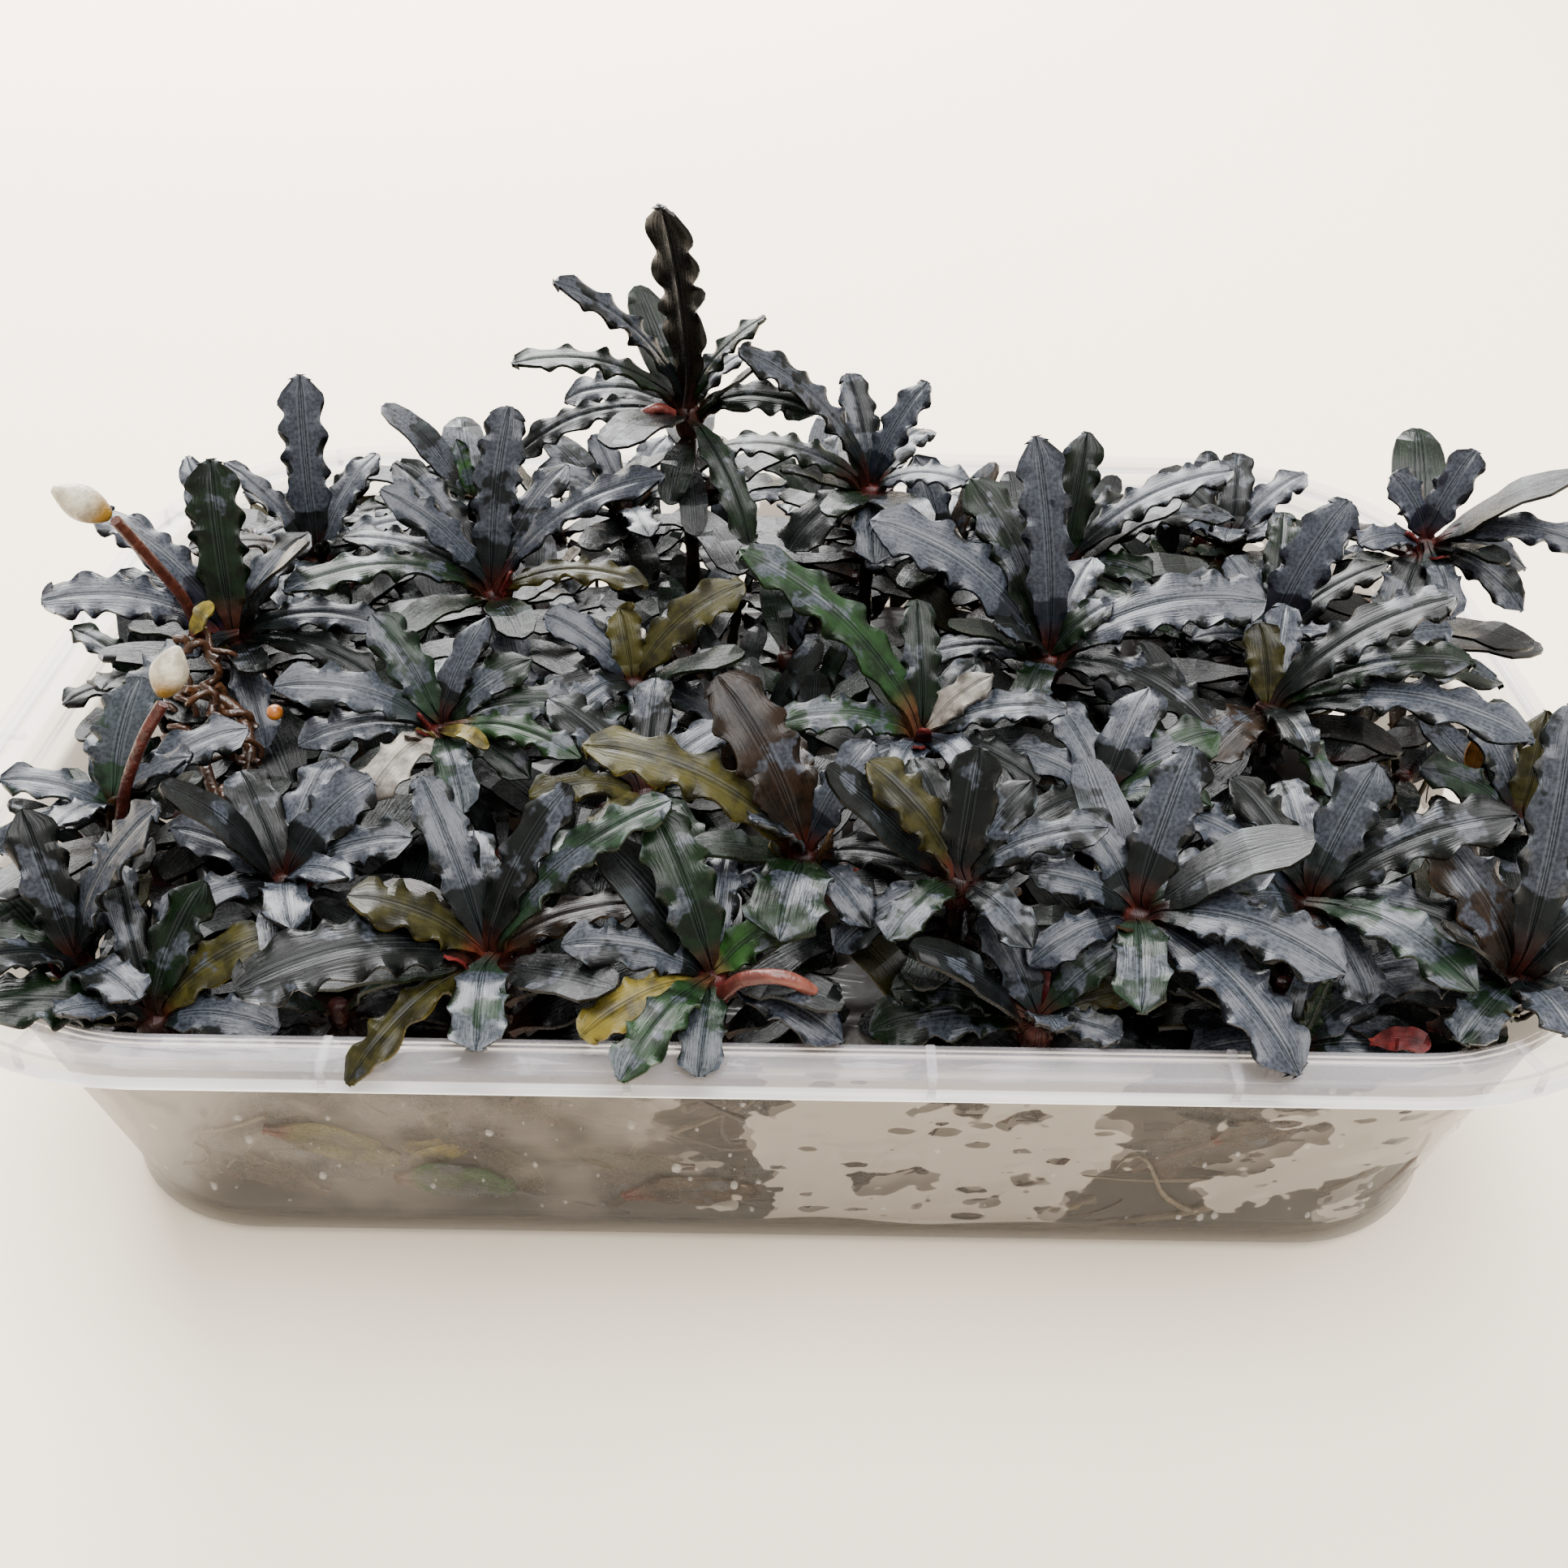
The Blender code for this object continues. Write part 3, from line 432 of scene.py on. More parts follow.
def tub_finish():
    """Hazy clear plastic: fogged in patches with clear holes, a wet foot and a painted highlight along the
    edge of the skirt.
    """
    finish, tree, shader = shader_of("hazy_plastic")
    place = add(tree, "ShaderNodeTexCoord").outputs["Object"]
    split = add(tree, "ShaderNodeSeparateXYZ", place)
    x, z = split.outputs[0], split.outputs[2]

    def below(value, low, high):
        return maths(tree, "SUBTRACT", 1.0, ramp(tree, value, low, high))

    # the wall under the flange, and the places of the front wall that are fogged in their own way
    wall = below(z, 0.0355, 0.0365)
    left = below(x, -0.018, -0.004)
    middle = maths(tree, "MULTIPLY", ramp(tree, x, -0.008, 0.004), below(x, 0.026, 0.034))
    corner = maths(tree, "MULTIPLY", ramp(tree, x, 0.048, 0.056), ramp(tree, z, 0.014, 0.022))
    left_corner = below(maths(tree, "MULTIPLY_ADD", z, -0.6, x), -0.073, -0.060)
    bias = maths(tree, "MULTIPLY_ADD", middle, 0.20, maths(tree, "MULTIPLY", corner, 0.15))
    # fog with crisp borders at the right and a soft one at the left
    cloud = noise_of(tree, place, 95.0, 3.0, 0.55)
    crisp = ramp(tree, maths(tree, "ADD", cloud, bias), 0.580, 0.600)
    soft = maths(tree, "MULTIPLY", ramp(tree, cloud, 0.40, 0.70), 0.42)
    soft = maths(tree, "MAXIMUM", soft, maths(tree, "MULTIPLY", left_corner, 0.9))
    # clear round spots in the fog, each of its own size and with an uneven border
    squeezed = add(tree, "ShaderNodeVectorMath", place, (0.6, 0.6, 1.2), operation="MULTIPLY").outputs[0]
    spots = add(tree, "ShaderNodeTexVoronoi", squeezed)
    spots.inputs["Scale"].default_value = 420.0
    size = add(tree, "ShaderNodeSeparateColor", spots.outputs["Color"]).outputs[0]
    reach = maths(tree, "MULTIPLY", maths(tree, "POWER", size, 2.2), 0.50)
    ripple = noise_of(tree, place, 900.0, 1.0, 0.5)
    uneven = maths(tree, "MULTIPLY_ADD", ripple, 0.30, spots.outputs["Distance"])
    crisp = maths(tree, "MULTIPLY", crisp, ramp(tree, maths(tree, "SUBTRACT", uneven, reach), 0.10, 0.14))
    fog = maths(tree, "MULTIPLY_ADD", maths(tree, "SUBTRACT", soft, crisp), left, crisp)
    # the wet foot ends at a wavy waterline
    waterline = maths(tree, "MULTIPLY_ADD", noise_of(tree, place, 45.0, 1.0, 0.5), 0.004, 0.0012)
    above = ramp(tree, maths(tree, "SUBTRACT", z, waterline), 0.0, 0.0003)
    fog = maths(tree, "MULTIPLY", fog, maths(tree, "MULTIPLY", wall, above))
    foot = maths(tree, "SUBTRACT", 1.0, above)
    # painted highlight: a thin bright band near the skirt's lower edge
    edge = maths(tree, "MULTIPLY", ramp(tree, z, 0.03825, 0.0383), below(z, 0.0386, 0.0388))
    rim = blend(tree, ramp(tree, z, 0.0395, 0.0402), *RIM_COLOURS)
    colour = blend(tree, wall, rim, WALL_COLOUR)
    alpha = 0.22
    for share, paint_colour, cover in ((fog, FOG_COLOUR, 0.46), (foot, FOOT_COLOUR, 0.14),
                                       (edge, EDGE_HIGHLIGHT, 0.50)):
        colour = blend(tree, share, colour, paint_colour)
        alpha = maths(tree, "MULTIPLY_ADD", share, cover, alpha)
    tree.links.new(colour, shader.inputs["Base Color"])
    tree.links.new(alpha, shader.inputs["Alpha"])
    tree.links.new(maths(tree, "MULTIPLY_ADD", fog, 0.30, 0.10), shader.inputs["Roughness"])
    shader.inputs["IOR"].default_value = 1.5
    return finish


def clear_finish(name, colour, alpha, roughness):
    finish, tree, shader = shader_of(name)
    shader.inputs["Base Color"].default_value = (*colour, 1.0)
    shader.inputs["Alpha"].default_value = alpha
    shader.inputs["Roughness"].default_value = roughness
    shader.inputs["IOR"].default_value = 1.33
    return finish


LEAF = leaf_finish()
ROOT = spotted_finish("wet_root", (0.008, 0.005, 0.003), (0.048, 0.024, 0.012), 160.0, 0.40, 0.2, 0.0001)
STONE = spotted_finish("grey_pebble", (0.045, 0.043, 0.040), (0.20, 0.19, 0.175), 420.0, 0.75, 0.0,
                       0.0002)
GROWN = toned_finish("smooth_growth", 0.34, 0.35)
FRUIT = spotted_finish("orange_skin", (0.30, 0.085, 0.010), (0.42, 0.17, 0.022), 380.0, 0.32, 0.2, 0.0002)
WET = toned_finish("wet_roots", 0.28, 0.5)
TUB = tub_finish()
WATER = clear_finish("shallow_water", (0.30, 0.28, 0.22), 0.35, 0.05)
DROP = clear_finish("water_drop", (0.70, 0.69, 0.66), 0.22, 0.02)


# Leaf blades

def width_share(u, tip):
    """Half width of a blade along its length: a slim petiole, a long even body and a round tip."""
    rise = min(max((u - 0.03) / 0.30, 0.0), 1.0)
    body = 0.26 + 0.64 * rise * rise * (3 - 2 * rise)
    body += 0.10 * math.sin(math.pi * min(max((u - 0.3) / 0.66, 0), 1))
    if u > tip:
        body *= math.sqrt(max(1 - ((u - tip) / (1.004 - tip)) ** 2, 0.0))
    return max(body, 0.05)


# For each count of columns: where the inner columns stand first and last, and how far each band is lifted
COLUMN_PLACES = {
    10: ((0.2, 0.12), (0.4, 0.36), (0.6, 0.64), (0.8, 0.86)),
    6: ((1 / 3, 0.2), (2 / 3, 0.72)),
    2: (),
}
COLUMN_LIFTS = {
    10: ((0.99, 0.55), (0.85, 0.32), (0.63, 0.13)),
    6: ((0.99, 0.6), (0.71, 0.35)),
    2: ((0.99, 0.95),),
}


def model_blade(name, rows, columns, waves, ruffle, tip, seed):
    """One blade of length 1 and half width 1, with heights in millimetres, shaped row by row."""
    rng = random.Random(seed)
    near_row = 0.3 / rows
    deselect_all()
    bpy.ops.mesh.primitive_grid_add(x_subdivisions=rows, y_subdivisions=columns, size=1, location=(0, 0, 0))
    item = bpy.context.object
    item.scale = (1, 2, 1)
    item.location = (0.5, 0, 0)
    settle(item, name)
    edit(item)
    for column, place in COLUMN_PLACES[columns]:
        for sign in (-1, 1):
            pick(item, lambda co: abs(co.y - sign * column) < 0.01)
            bpy.ops.transform.translate(value=(0, sign * (place - column), 0))
    pick(item, lambda co: abs(co.y) < 0.01)
    bpy.ops.transform.translate(value=(0, 0, -MIDRIB_DEPTH))
    phases = [rng.uniform(0, math.tau) for _ in range(6)]
    for row in range(rows + 1):
        level = row / rows
        beyond = max((level - tip) / (1 - tip), 0)
        reach = level if level < tip else tip + (1 - tip) * math.sin(math.pi / 2 * beyond)
        pick(item, lambda co: abs(co.x - level) < near_row)
        bpy.ops.transform.resize(value=(1, width_share(reach, tip), 1), center_override=(level, 0, 0))
        calm = 0.75 * min(max((level - 0.84) / 0.12, 0), 1)
        grow = min(max((level - 0.14) / 0.25, 0), 1) * ruffle * (1 - calm)
        for sign in (-1, 1):
            wander = 0.8 * math.sin(math.tau * 1.7 * level + phases[2])
            wander += 0.5 * math.sin(math.tau * 3.9 * level + phases[4])
            turn = math.tau * waves * level + phases[sign] + sign * wander
            swing = math.sin(turn) * (0.72 + 0.4 * math.sin(math.tau * 2.3 * level + phases[3]))
            edge = width_share(reach, tip)
            for share, lift in COLUMN_LIFTS[columns]:
                limit = share * edge * 0.97
                pick(item, lambda co: abs(co.x - level) < near_row and sign * co.y > limit)
                pull = (0.085 if share > 0.9 else 0.03) * math.cos(turn) * grow
                bpy.ops.transform.translate(value=(0, sign * pull, grow * swing * lift * 0.62))
        if reach > level:
            pick(item, lambda co: abs(co.x - level) < near_row)
            bpy.ops.transform.translate(value=(reach - level + 2 * (row == rows), 0, 0))
    pick(item, lambda co: co.x > 2)
    bpy.ops.transform.translate(value=(-2, 0, 0))
    bpy.ops.mesh.select_all(action="SELECT")
    bpy.ops.mesh.extrude_region_move(TRANSFORM_OT_translate={"value": (0, 0, BLADE_THICKNESS)})
    for row in range(rows // 4):
        level = row / rows
        pick(item, lambda co: abs(co.x - level) < near_row)
        grow = 1 + 1.8 * (1 - 4 * level)
        bpy.ops.transform.resize(value=(1, 1, grow), center_override=(level, 0, 0.1))
    return finish_form(item, 55)


def model_tube(name, sides, rings, radius_at):
    """A closed round rod of length 1 along X, drawn out ring by ring."""
    deselect_all()
    bpy.ops.mesh.primitive_circle_add(vertices=sides, radius=1, fill_type="NGON", location=(0, 0, 0),
                                      rotation=(0, math.radians(90), 0))
    item = settle(bpy.context.object, name)
    edit(item)
    bpy.ops.mesh.select_all(action="SELECT")
    bpy.ops.transform.resize(value=(1, radius_at(0), radius_at(0)), center_override=(0, 0, 0))
    for ring in range(1, rings + 1):
        change = radius_at(ring / rings) / radius_at((ring - 1) / rings)
        bpy.ops.mesh.extrude_region_move(TRANSFORM_OT_translate={"value": (1 / rings, 0, 0)})
        bpy.ops.transform.resize(value=(1, change, change), center_override=(ring / rings, 0, 0))
    return finish_form(item, 60)


# Laying a form along a curve

def curve_through(points, count):
    """Points at even steps along a smooth curve through the given ones, and its length."""
    ends = [points[0] * 2 - points[1], *points, points[-1] * 2 - points[-2]]
    dense = []
    for k in range(1, len(ends) - 2):
        p0, p1, p2, p3 = ends[k - 1:k + 3]
        for step in range(8):
            t = step / 8
            bend = (2 * p0 - 5 * p1 + 4 * p2 - p3) * t * t + (3 * p1 - p0 - 3 * p2 + p3) * t ** 3
            dense.append(0.5 * (2 * p1 + (p2 - p0) * t + bend))
    dense.append(points[-1].copy())
    travelled = [0.0]
    for a, b in zip(dense, dense[1:]):
        travelled.append(travelled[-1] + (b - a).length)
    result = []
    here = 0
    for index in range(count):
        goal = travelled[-1] * index / (count - 1)
        while here < len(travelled) - 2 and travelled[here + 1] < goal:
            here += 1
        share = (goal - travelled[here]) / max(travelled[here + 1] - travelled[here], 1e-9)
        result.append(dense[here].lerp(dense[here + 1], min(max(share, 0), 1)))
    return result, travelled[-1]


def frames_along(spine, ups):
    """Side and up directions at each point of the spine, square to its run."""
    sides, tops = [], []
    for index, up in enumerate(ups):
        ahead = (spine[min(index + 1, len(spine) - 1)] - spine[max(index - 1, 0)]).normalized()
        side = up.cross(ahead).normalized()
        sides.append(side)
        tops.append(ahead.cross(side))
    return sides, tops


def lay(master, name, spine, ups, half_width, height=MM):
    """A copy of a form with its own mesh, laid along a spine: x runs along it, y across it, z out of it."""
    item = copy_of(master, name)
    sides, tops = frames_along(spine, ups)
    count = len(spine) - 1
    flat = corners_of(item).astype(np.float64)
    travel = np.clip(flat[:, 0], 0, 1) * count
    low = np.minimum(travel.astype(int), count - 1)
    share = (travel - low)[:, None]

    def between(values):
        table = np.array([tuple(value) for value in values])
        return table[low] * (1 - share) + table[low + 1] * share

    placed = between(spine) + between(sides) * flat[:, 1:2] * half_width
    placed += between(tops) * flat[:, 2:3] * height
    item.data.vertices.foreach_set("co", placed.astype(np.float32).ravel())
    item.data.update()
    return item


def paint(item, colours, painted_sheen):
    """Store the tone of every corner and how much grey film of painted sheen it carries."""
    tone = item.data.attributes.new("tone", "FLOAT_COLOR", "POINT")
    tone.data.foreach_set("color", with_alpha(colours))
    cover = item.data.attributes.new("painted_sheen", "FLOAT", "POINT")
    cover.data.foreach_set("value", np.asarray(painted_sheen, dtype=np.float32))


def read_leaves(node):
    """Every leaf of a plant's solid as its curve, its up directions, its half width and its length."""
    bm = bmesh.new()
    bm.from_mesh(node.data)
    bmesh.ops.remove_doubles(bm, verts=bm.verts, dist=MERGE)
    bm.verts.index_update()
    leaves = []
    for tip in bm.verts:
        if len(tip.link_edges) != 3:
            continue
        seen = {tip}
        ring = [edge.other_vert(tip) for edge in tip.link_edges]
        rings = []
        while len(ring) == 3:
            rings.append([vert.co.copy() for vert in ring])
            seen.update(ring)
            ahead = {edge.other_vert(vert) for vert in ring for edge in vert.link_edges} - seen
            ring = sorted(ahead, key=lambda vert: vert.index)
        base = rings.pop()
        rings.reverse()

        def spans(three):
            return [(three[(k + 1) % 3] - three[(k + 2) % 3]).length for k in range(3)]

        widest = max(range(len(rings)), key=lambda k: max(spans(rings[k])))
        keel = max(range(3), key=lambda k: spans(rings[widest])[k])
        order = [k for k in range(widest, -1, -1)] + [k for k in range(widest + 1, len(rings))]
        middles, ups = {}, {}
        for k in order:
            if k == widest:
                chosen = keel
            else:
                near = ups[k + 1] if k < widest else ups[k - 1]
                chosen = min(range(3), key=lambda c: rings[k][c].dot(near))
            others = [rings[k][c] for c in range(3) if c != chosen]
            middles[k] = (others[0] + others[1]) / 2
            ups[k] = (middles[k] - rings[k][chosen]).normalized()
        points = [sum(base, Vector()) / 3] + [middles[k] for k in range(len(rings))] + [tip.co.copy()]
        tops = [ups[0]] + [ups[k] for k in range(len(rings))] + [ups[len(rings) - 1]]
        spine, length = curve_through(points, SPINE_STEPS)
        marks = [0.0]
        for a, b in zip(points, points[1:]):
            marks.append(marks[-1] + (b - a).length)
        turned = []
        for index in range(SPINE_STEPS):
            goal = marks[-1] * index / (SPINE_STEPS - 1)
            k = max(j for j in range(len(marks) - 1) if marks[j] <= goal + 1e-9)
            share = min((goal - marks[k]) / (marks[k + 1] - marks[k]), 1)
            turned.append(tops[k].lerp(tops[k + 1], share).normalized())
        half = max(spans(rings[widest])) / 2
        leaves.append({"spine": spine, "ups": turned, "half": half, "length": length})
    bm.free()
    return leaves


def read_stem(node):
    """The crown's centre and the stem's curve from the crown down to its foot."""
    bm = bmesh.new()
    bm.from_mesh(node.data)
    bmesh.ops.remove_doubles(bm, verts=bm.verts, dist=MERGE)
    foot = min(bm.verts, key=lambda vert: vert.co.z)
    seen, ring, middles = {foot}, [foot], [foot.co.copy()]
    for _ in range(3):
        seen.update(ring)
        ring = list({edge.other_vert(vert) for vert in ring for edge in vert.link_edges} - seen)
        middles.append(sum((vert.co for vert in ring), Vector()) / len(ring))
    bm.free()
    return middles[3] + Vector((0, 0, 0.8 * MM)), middles


# Tones of the leaves

def picture_place(point):
    """Where a point lies in the picture, in its pixels."""
    turn = Matrix.Rotation(CAMERA_TILT, 3, "X") @ Matrix.Rotation(CAMERA_ROLL, 3, "Z")
    local = turn.inverted() @ (point - CAMERA_PLACE)
    zoom = FOCAL_PIXELS / -local.z
    return Vector((PICTURE_PIXELS / 2 + zoom * local.x, PICTURE_PIXELS / 2 - zoom * local.y))


def choose_tones(leaves):
    """A tone for each leaf: by chance, and by its place in the picture for those in the table."""
    rng = random.Random(12)
    for leaf in leaves:
        leaf["tone"] = draw_tone(rng, COMMON_TONES)
        leaf["seen"] = [picture_place(leaf["spine"][k]) for k in SEEN_POINTS]
        leaf["depth"] = (leaf["spine"][MIDDLE_POINT] - CAMERA_PLACE).length * PIXELS_PER_DEPTH
    for tone, places in TONE_PLACES.items():
        for place in places:
            goal = Vector(place)
            best = min(leaves, key=lambda leaf: min((p - goal).length for p in leaf["seen"]) + leaf["depth"])
            best["tone"] = tone


def draw_tone(rng, weights):
    return rng.choices(tuple(weights), tuple(weights.values()))[0]


def blade_tones(item, tone, rng, red):
    """Colours of a blade: petiole, then upper side or underside, and the grey film of painted sheen on its
    upper side.
    """
    upper, under, petiole, painted_sheen = TONES[tone]
    place = corners_of(item)
    count = len(place)
    u = np.clip(place[:, 0], 0, 1)
    upper_half = np.arange(count) >= count // 2
    top = upper_half[:, None]
    shade = rng.uniform(0.7, 1.25)
    ends = rng.uniform(-0.35, 0.6)
    colours = np.where(top, np.array(upper), np.array(under)) * shade
    colours = colours * (1 + ends * (u[:, None] - 0.5))
    stem = np.clip((0.17 + rng.uniform(-0.05, 0.08) - u) / 0.12, 0, 1)[:, None]
    petiole = np.array(petiole) * (0.5 + 0.9 * red) * rng.uniform(0.7, 1.2)
    colours = colours * (1 - stem) + petiole * stem
    height = place[:, 2] - BLADE_THICKNESS * upper_half
    # painted shade: in the hollows of the wavy margin the upper side is darkened by half and the film of
    # painted sheen is left off
    hollow_shade = np.clip((-0.10 - height) / 0.14, 0, 1)
    hollow_shade = hollow_shade * (np.abs(place[:, 1]) > 0.4)
    base = np.clip((u - rng.uniform(0.12, 0.34)) / 0.12, 0, 1)
    cover = painted_sheen * rng.uniform(0.8, 1.2) * base * (1 - hollow_shade)
    colours = colours * (1 - 0.5 * hollow_shade[:, None] * top)
    # painted highlight: a pale grey is added on the crests of the margin's waves, stronger on some leaves
    # than others
    crest_highlight = np.clip((height - 0.16) / 0.12, 0, 1) * (np.abs(place[:, 1]) > 0.5)
    glint = rng.uniform(0.0, 1.0) * rng.uniform(0.3, 1.0)
    colours = colours + (np.array(CREST_HIGHLIGHT) * glint) * (crest_highlight * upper_half * (u > 0.25))[:, None]
    return colours, np.where(upper_half, cover, painted_sheen * 0.1)


# Plants

BLADES = {
    "short": [model_blade("short_blade_1", 30, 10, 3.2, 0.85, 0.84, 1),
              model_blade("short_blade_2", 32, 10, 3.7, 0.75, 0.88, 2)],
    "middle": [model_blade("middle_blade_1", 42, 10, 4.5, 1.05, 0.86, 3),
               model_blade("middle_blade_2", 44, 10, 5.2, 0.95, 0.84, 4)],
    "long": [model_blade("long_blade_1", 56, 10, 6.0, 1.15, 0.88, 5),
             model_blade("long_blade_2", 60, 10, 6.9, 1.0, 0.87, 6)],
    "dead": [model_blade("dead_blade", 26, 6, 1.7, 0.45, 0.55, 9)],
    "low": [model_blade("low_blade_1", 12, 2, 1.5, 0.6, 0.78, 7),
            model_blade("low_blade_2", 12, 2, 1.8, 0.55, 0.82, 8)],
}
STEM_ROD = model_tube("stem_rod", 8, 8, lambda u: 1.0 + 0.16 * math.cos(u * math.tau * 3))
CROWN_ROD = model_tube("crown_rod", 10, 6,
                       lambda u: 0.35 + 0.75 * math.sin(math.pi * (0.12 + 0.84 * u)) ** 0.6)


def blade_for(length, rng):
    kind = "short" if length < SHORT_LEAF else "middle" if length < MIDDLE_LEAF else "long"
    return rng.choice(BLADES[kind])


def tree_of(items):
    corners, faces = [], []
    for item in items:
        start = len(corners)
        corners += [vert.co.copy() for vert in item.data.vertices]
        faces += [[start + index for index in face.vertices] for face in item.data.polygons]
    return BVHTree.FromPolygons(corners, faces)


def strip(spine, sides, tops, half):
    """A thin closed band along a spine, to try whether a leaf has room."""
    corners, faces = [], []
    for k in range(6, len(spine), 3):
        width = half * (0.5 if k < 8 or k > 22 else 0.95)
        for side, lift in ((-1, -0.4), (1, -0.4), (1, 0.4), (-1, 0.4)):
            corners.append(spine[k] + sides[k] * side * width + tops[k] * lift * MM)
    for k in range(len(corners) // 4 - 1):
        for c in range(4):
            a, b = 4 * k + c, 4 * k + (c + 1) % 4
            faces.append((a, b, b + 4, a + 4))
    return corners, faces


def direction(heading, rise):
    """The unit vector with a heading around the upright and a rise above the level."""
    return Vector((math.cos(rise) * math.cos(heading), math.cos(rise) * math.sin(heading), math.sin(rise)))


def extra_leaf(crown, heading, rise, length, droop):
    """The curve of one more leaf out of a crown."""
    points = []
    angle = rise + droop * 0.5
    place = crown + Vector((math.cos(heading), math.sin(heading), 0.2)) * 1.2 * MM
    for _ in range(6):
        points.append(place.copy())
        angle -= droop / 6
        place = place + direction(heading, angle) * length / 5
    spine, _ = curve_through(points, SPINE_STEPS)
    ups = []
    for k in range(SPINE_STEPS):
        ahead = (spine[min(k + 1, SPINE_STEPS - 1)] - spine[max(k - 1, 0)]).normalized()
        side = Vector((-math.sin(heading), math.cos(heading), 0))
        up = side.cross(ahead)
        ups.append(-up.normalized() if up.z < 0 else up.normalized())
    return spine, ups


def inside_rim(point, inset):
    """Whether a point lies inside the tub's rim by at least an inset in millimetres."""
    radius = TUB_RIM[2] - inset
    over_x = max(abs(point.x) / MM - (TUB_RIM[0] / 2 - TUB_RIM[2]), 0)
    over_y = max(abs(point.y) / MM - (TUB_RIM[1] / 2 - TUB_RIM[2]), 0)
    return math.hypot(over_x, over_y) < radius


class Growth:
    """Everything that has grown so far, so that a new leaf finds a free place."""

    def __init__(self, fixed):
        self.fixed = fixed
        self.corners, self.faces = [], []
        self.tree = None

    def has_room(self, spine, sides, tops, half):
        corners, faces = strip(spine, sides, tops, half)
        trial = BVHTree.FromPolygons(corners, faces)
        if self.fixed.overlap(trial) or (self.tree and self.tree.overlap(trial)):
            return False
        offset = len(self.corners)
        self.corners += corners
        self.faces += [tuple(offset + c for c in face) for face in faces]
        self.tree = BVHTree.FromPolygons(self.corners, self.faces)
        return True


def add_leaves(growth, name, crown, wanted, rng, red, drop, lengths):
    """More leaves out of one crown: most of them low, where there is room for them."""
    parts = []
    for trial in range(30 * wanted):
        if len(parts) == wanted:
            break
        low = trial % 3 > 0
        heading = rng.uniform(0, math.tau)
        toward = max(-math.sin(heading), 0)
        rise = math.radians(rng.uniform(-30, 22) if low else rng.uniform(10, 72 - 62 * toward))
        length = rng.uniform(*lengths) * MM
        start = crown - Vector((0, 0, rng.uniform(1.0, drop) * MM)) if low else crown
        spine, ups = extra_leaf(start, heading, rise, length, math.radians(rng.uniform(10, 60)))
        half = length * rng.uniform(0.15, 0.20)
        inside = all(inside_rim(point, 7.5 if point.z < 0.044 else 1.5) for point in spine)
        if not inside or spine[-1].z < 0.023:
            continue
        sides, tops = frames_along(spine, ups)
        if not growth.has_room(spine, sides, tops, half):
            continue
        blade = rng.choice(BLADES["low"])
        tone = draw_tone(rng, LOW_TONES)
        colours, painted_sheen = blade_tones(blade, tone, rng, red)
        part = lay(blade, f"{name}_more_{len(parts)}", spine, ups, half)
        # painted shade: low leaves are darkened to under half their tone and given less painted sheen; the
        # others are darkened slightly
        paint(part, colours * (0.45 if low else 0.9), painted_sheen * (0.4 if low else 0.8))
        parts.append(part)
    return parts


def plain_rod(form, name, line, radius, tone):
    """A round form along a line, in one tone."""
    rod = lay(form, name, line, [Vector((0, 1, 0))] * len(line), radius * MM, radius * MM)
    count = len(rod.data.vertices)
    paint(rod, np.tile(np.array(tone), (count, 1)), np.zeros(count))
    return rod


def crown_and_stem(name, crown, down, red, size):
    """The knotty crown where the petioles meet and the stem under it."""
    knob = [crown + Vector((0, 0, (1.6 - 4.2 * k / 8) * MM * size)) for k in range(9)]
    tone = np.array((0.014, 0.005, 0.003)) * (1 - red) + np.array((0.045, 0.006, 0.005)) * red
    return [plain_rod(STEM_ROD, f"{name}_stem", down, 0.95 * size, (0.012, 0.006, 0.004)),
            plain_rod(CROWN_ROD, f"{name}_crown", knob, 1.55 * size, tone)]


def sheaths(name, crown, red, rng):
    """Short pointed scales that stand around the crown."""
    parts = []
    for index in range(rng.randint(2, 4)):
        heading = rng.uniform(0, math.tau)
        rise = math.radians(rng.uniform(25, 78))
        length = rng.uniform(3.2, 6.5) * MM
        droop = math.radians(rng.uniform(-20, 40))
        spine, ups = extra_leaf(crown - Vector((0, 0, MM)), heading, rise, length, droop)
        blade = rng.choice(BLADES["low"])
        tone = "crimson" if rng.random() < red * 0.7 else rng.choice(("brown", "brown", "olive"))
        colours, painted_sheen = blade_tones(blade, tone, rng, red)
        part = lay(blade, f"{name}_sheath_{index}", spine, ups, rng.uniform(0.6, 1.1) * MM, MM * 0.7)
        paint(part, colours, painted_sheen * 0)
        parts.append(part)
    return parts


def bare_spots(growth):
    """Places over the root mat that no leaf covers, each well away from the others."""
    spots = []
    down = Vector((0, 0, -1))
    for row in range(-15, 16):
        for column in range(-24, 25):
            spot = Vector((column * SPOT_GRID, row * SPOT_GRID, 0))
            if not inside_rim(spot, 13):
                continue
            start = spot + Vector((0, 0, RAY_START))
            hit = growth.fixed.ray_cast(start, down, RAY_REACH)[0]
            if hit or (growth.tree and growth.tree.ray_cast(start, down, RAY_REACH)[0]):
                continue
            if all((spot - other).length > SPOT_SPACING for other in spots):
                spots.append(spot)
    return spots


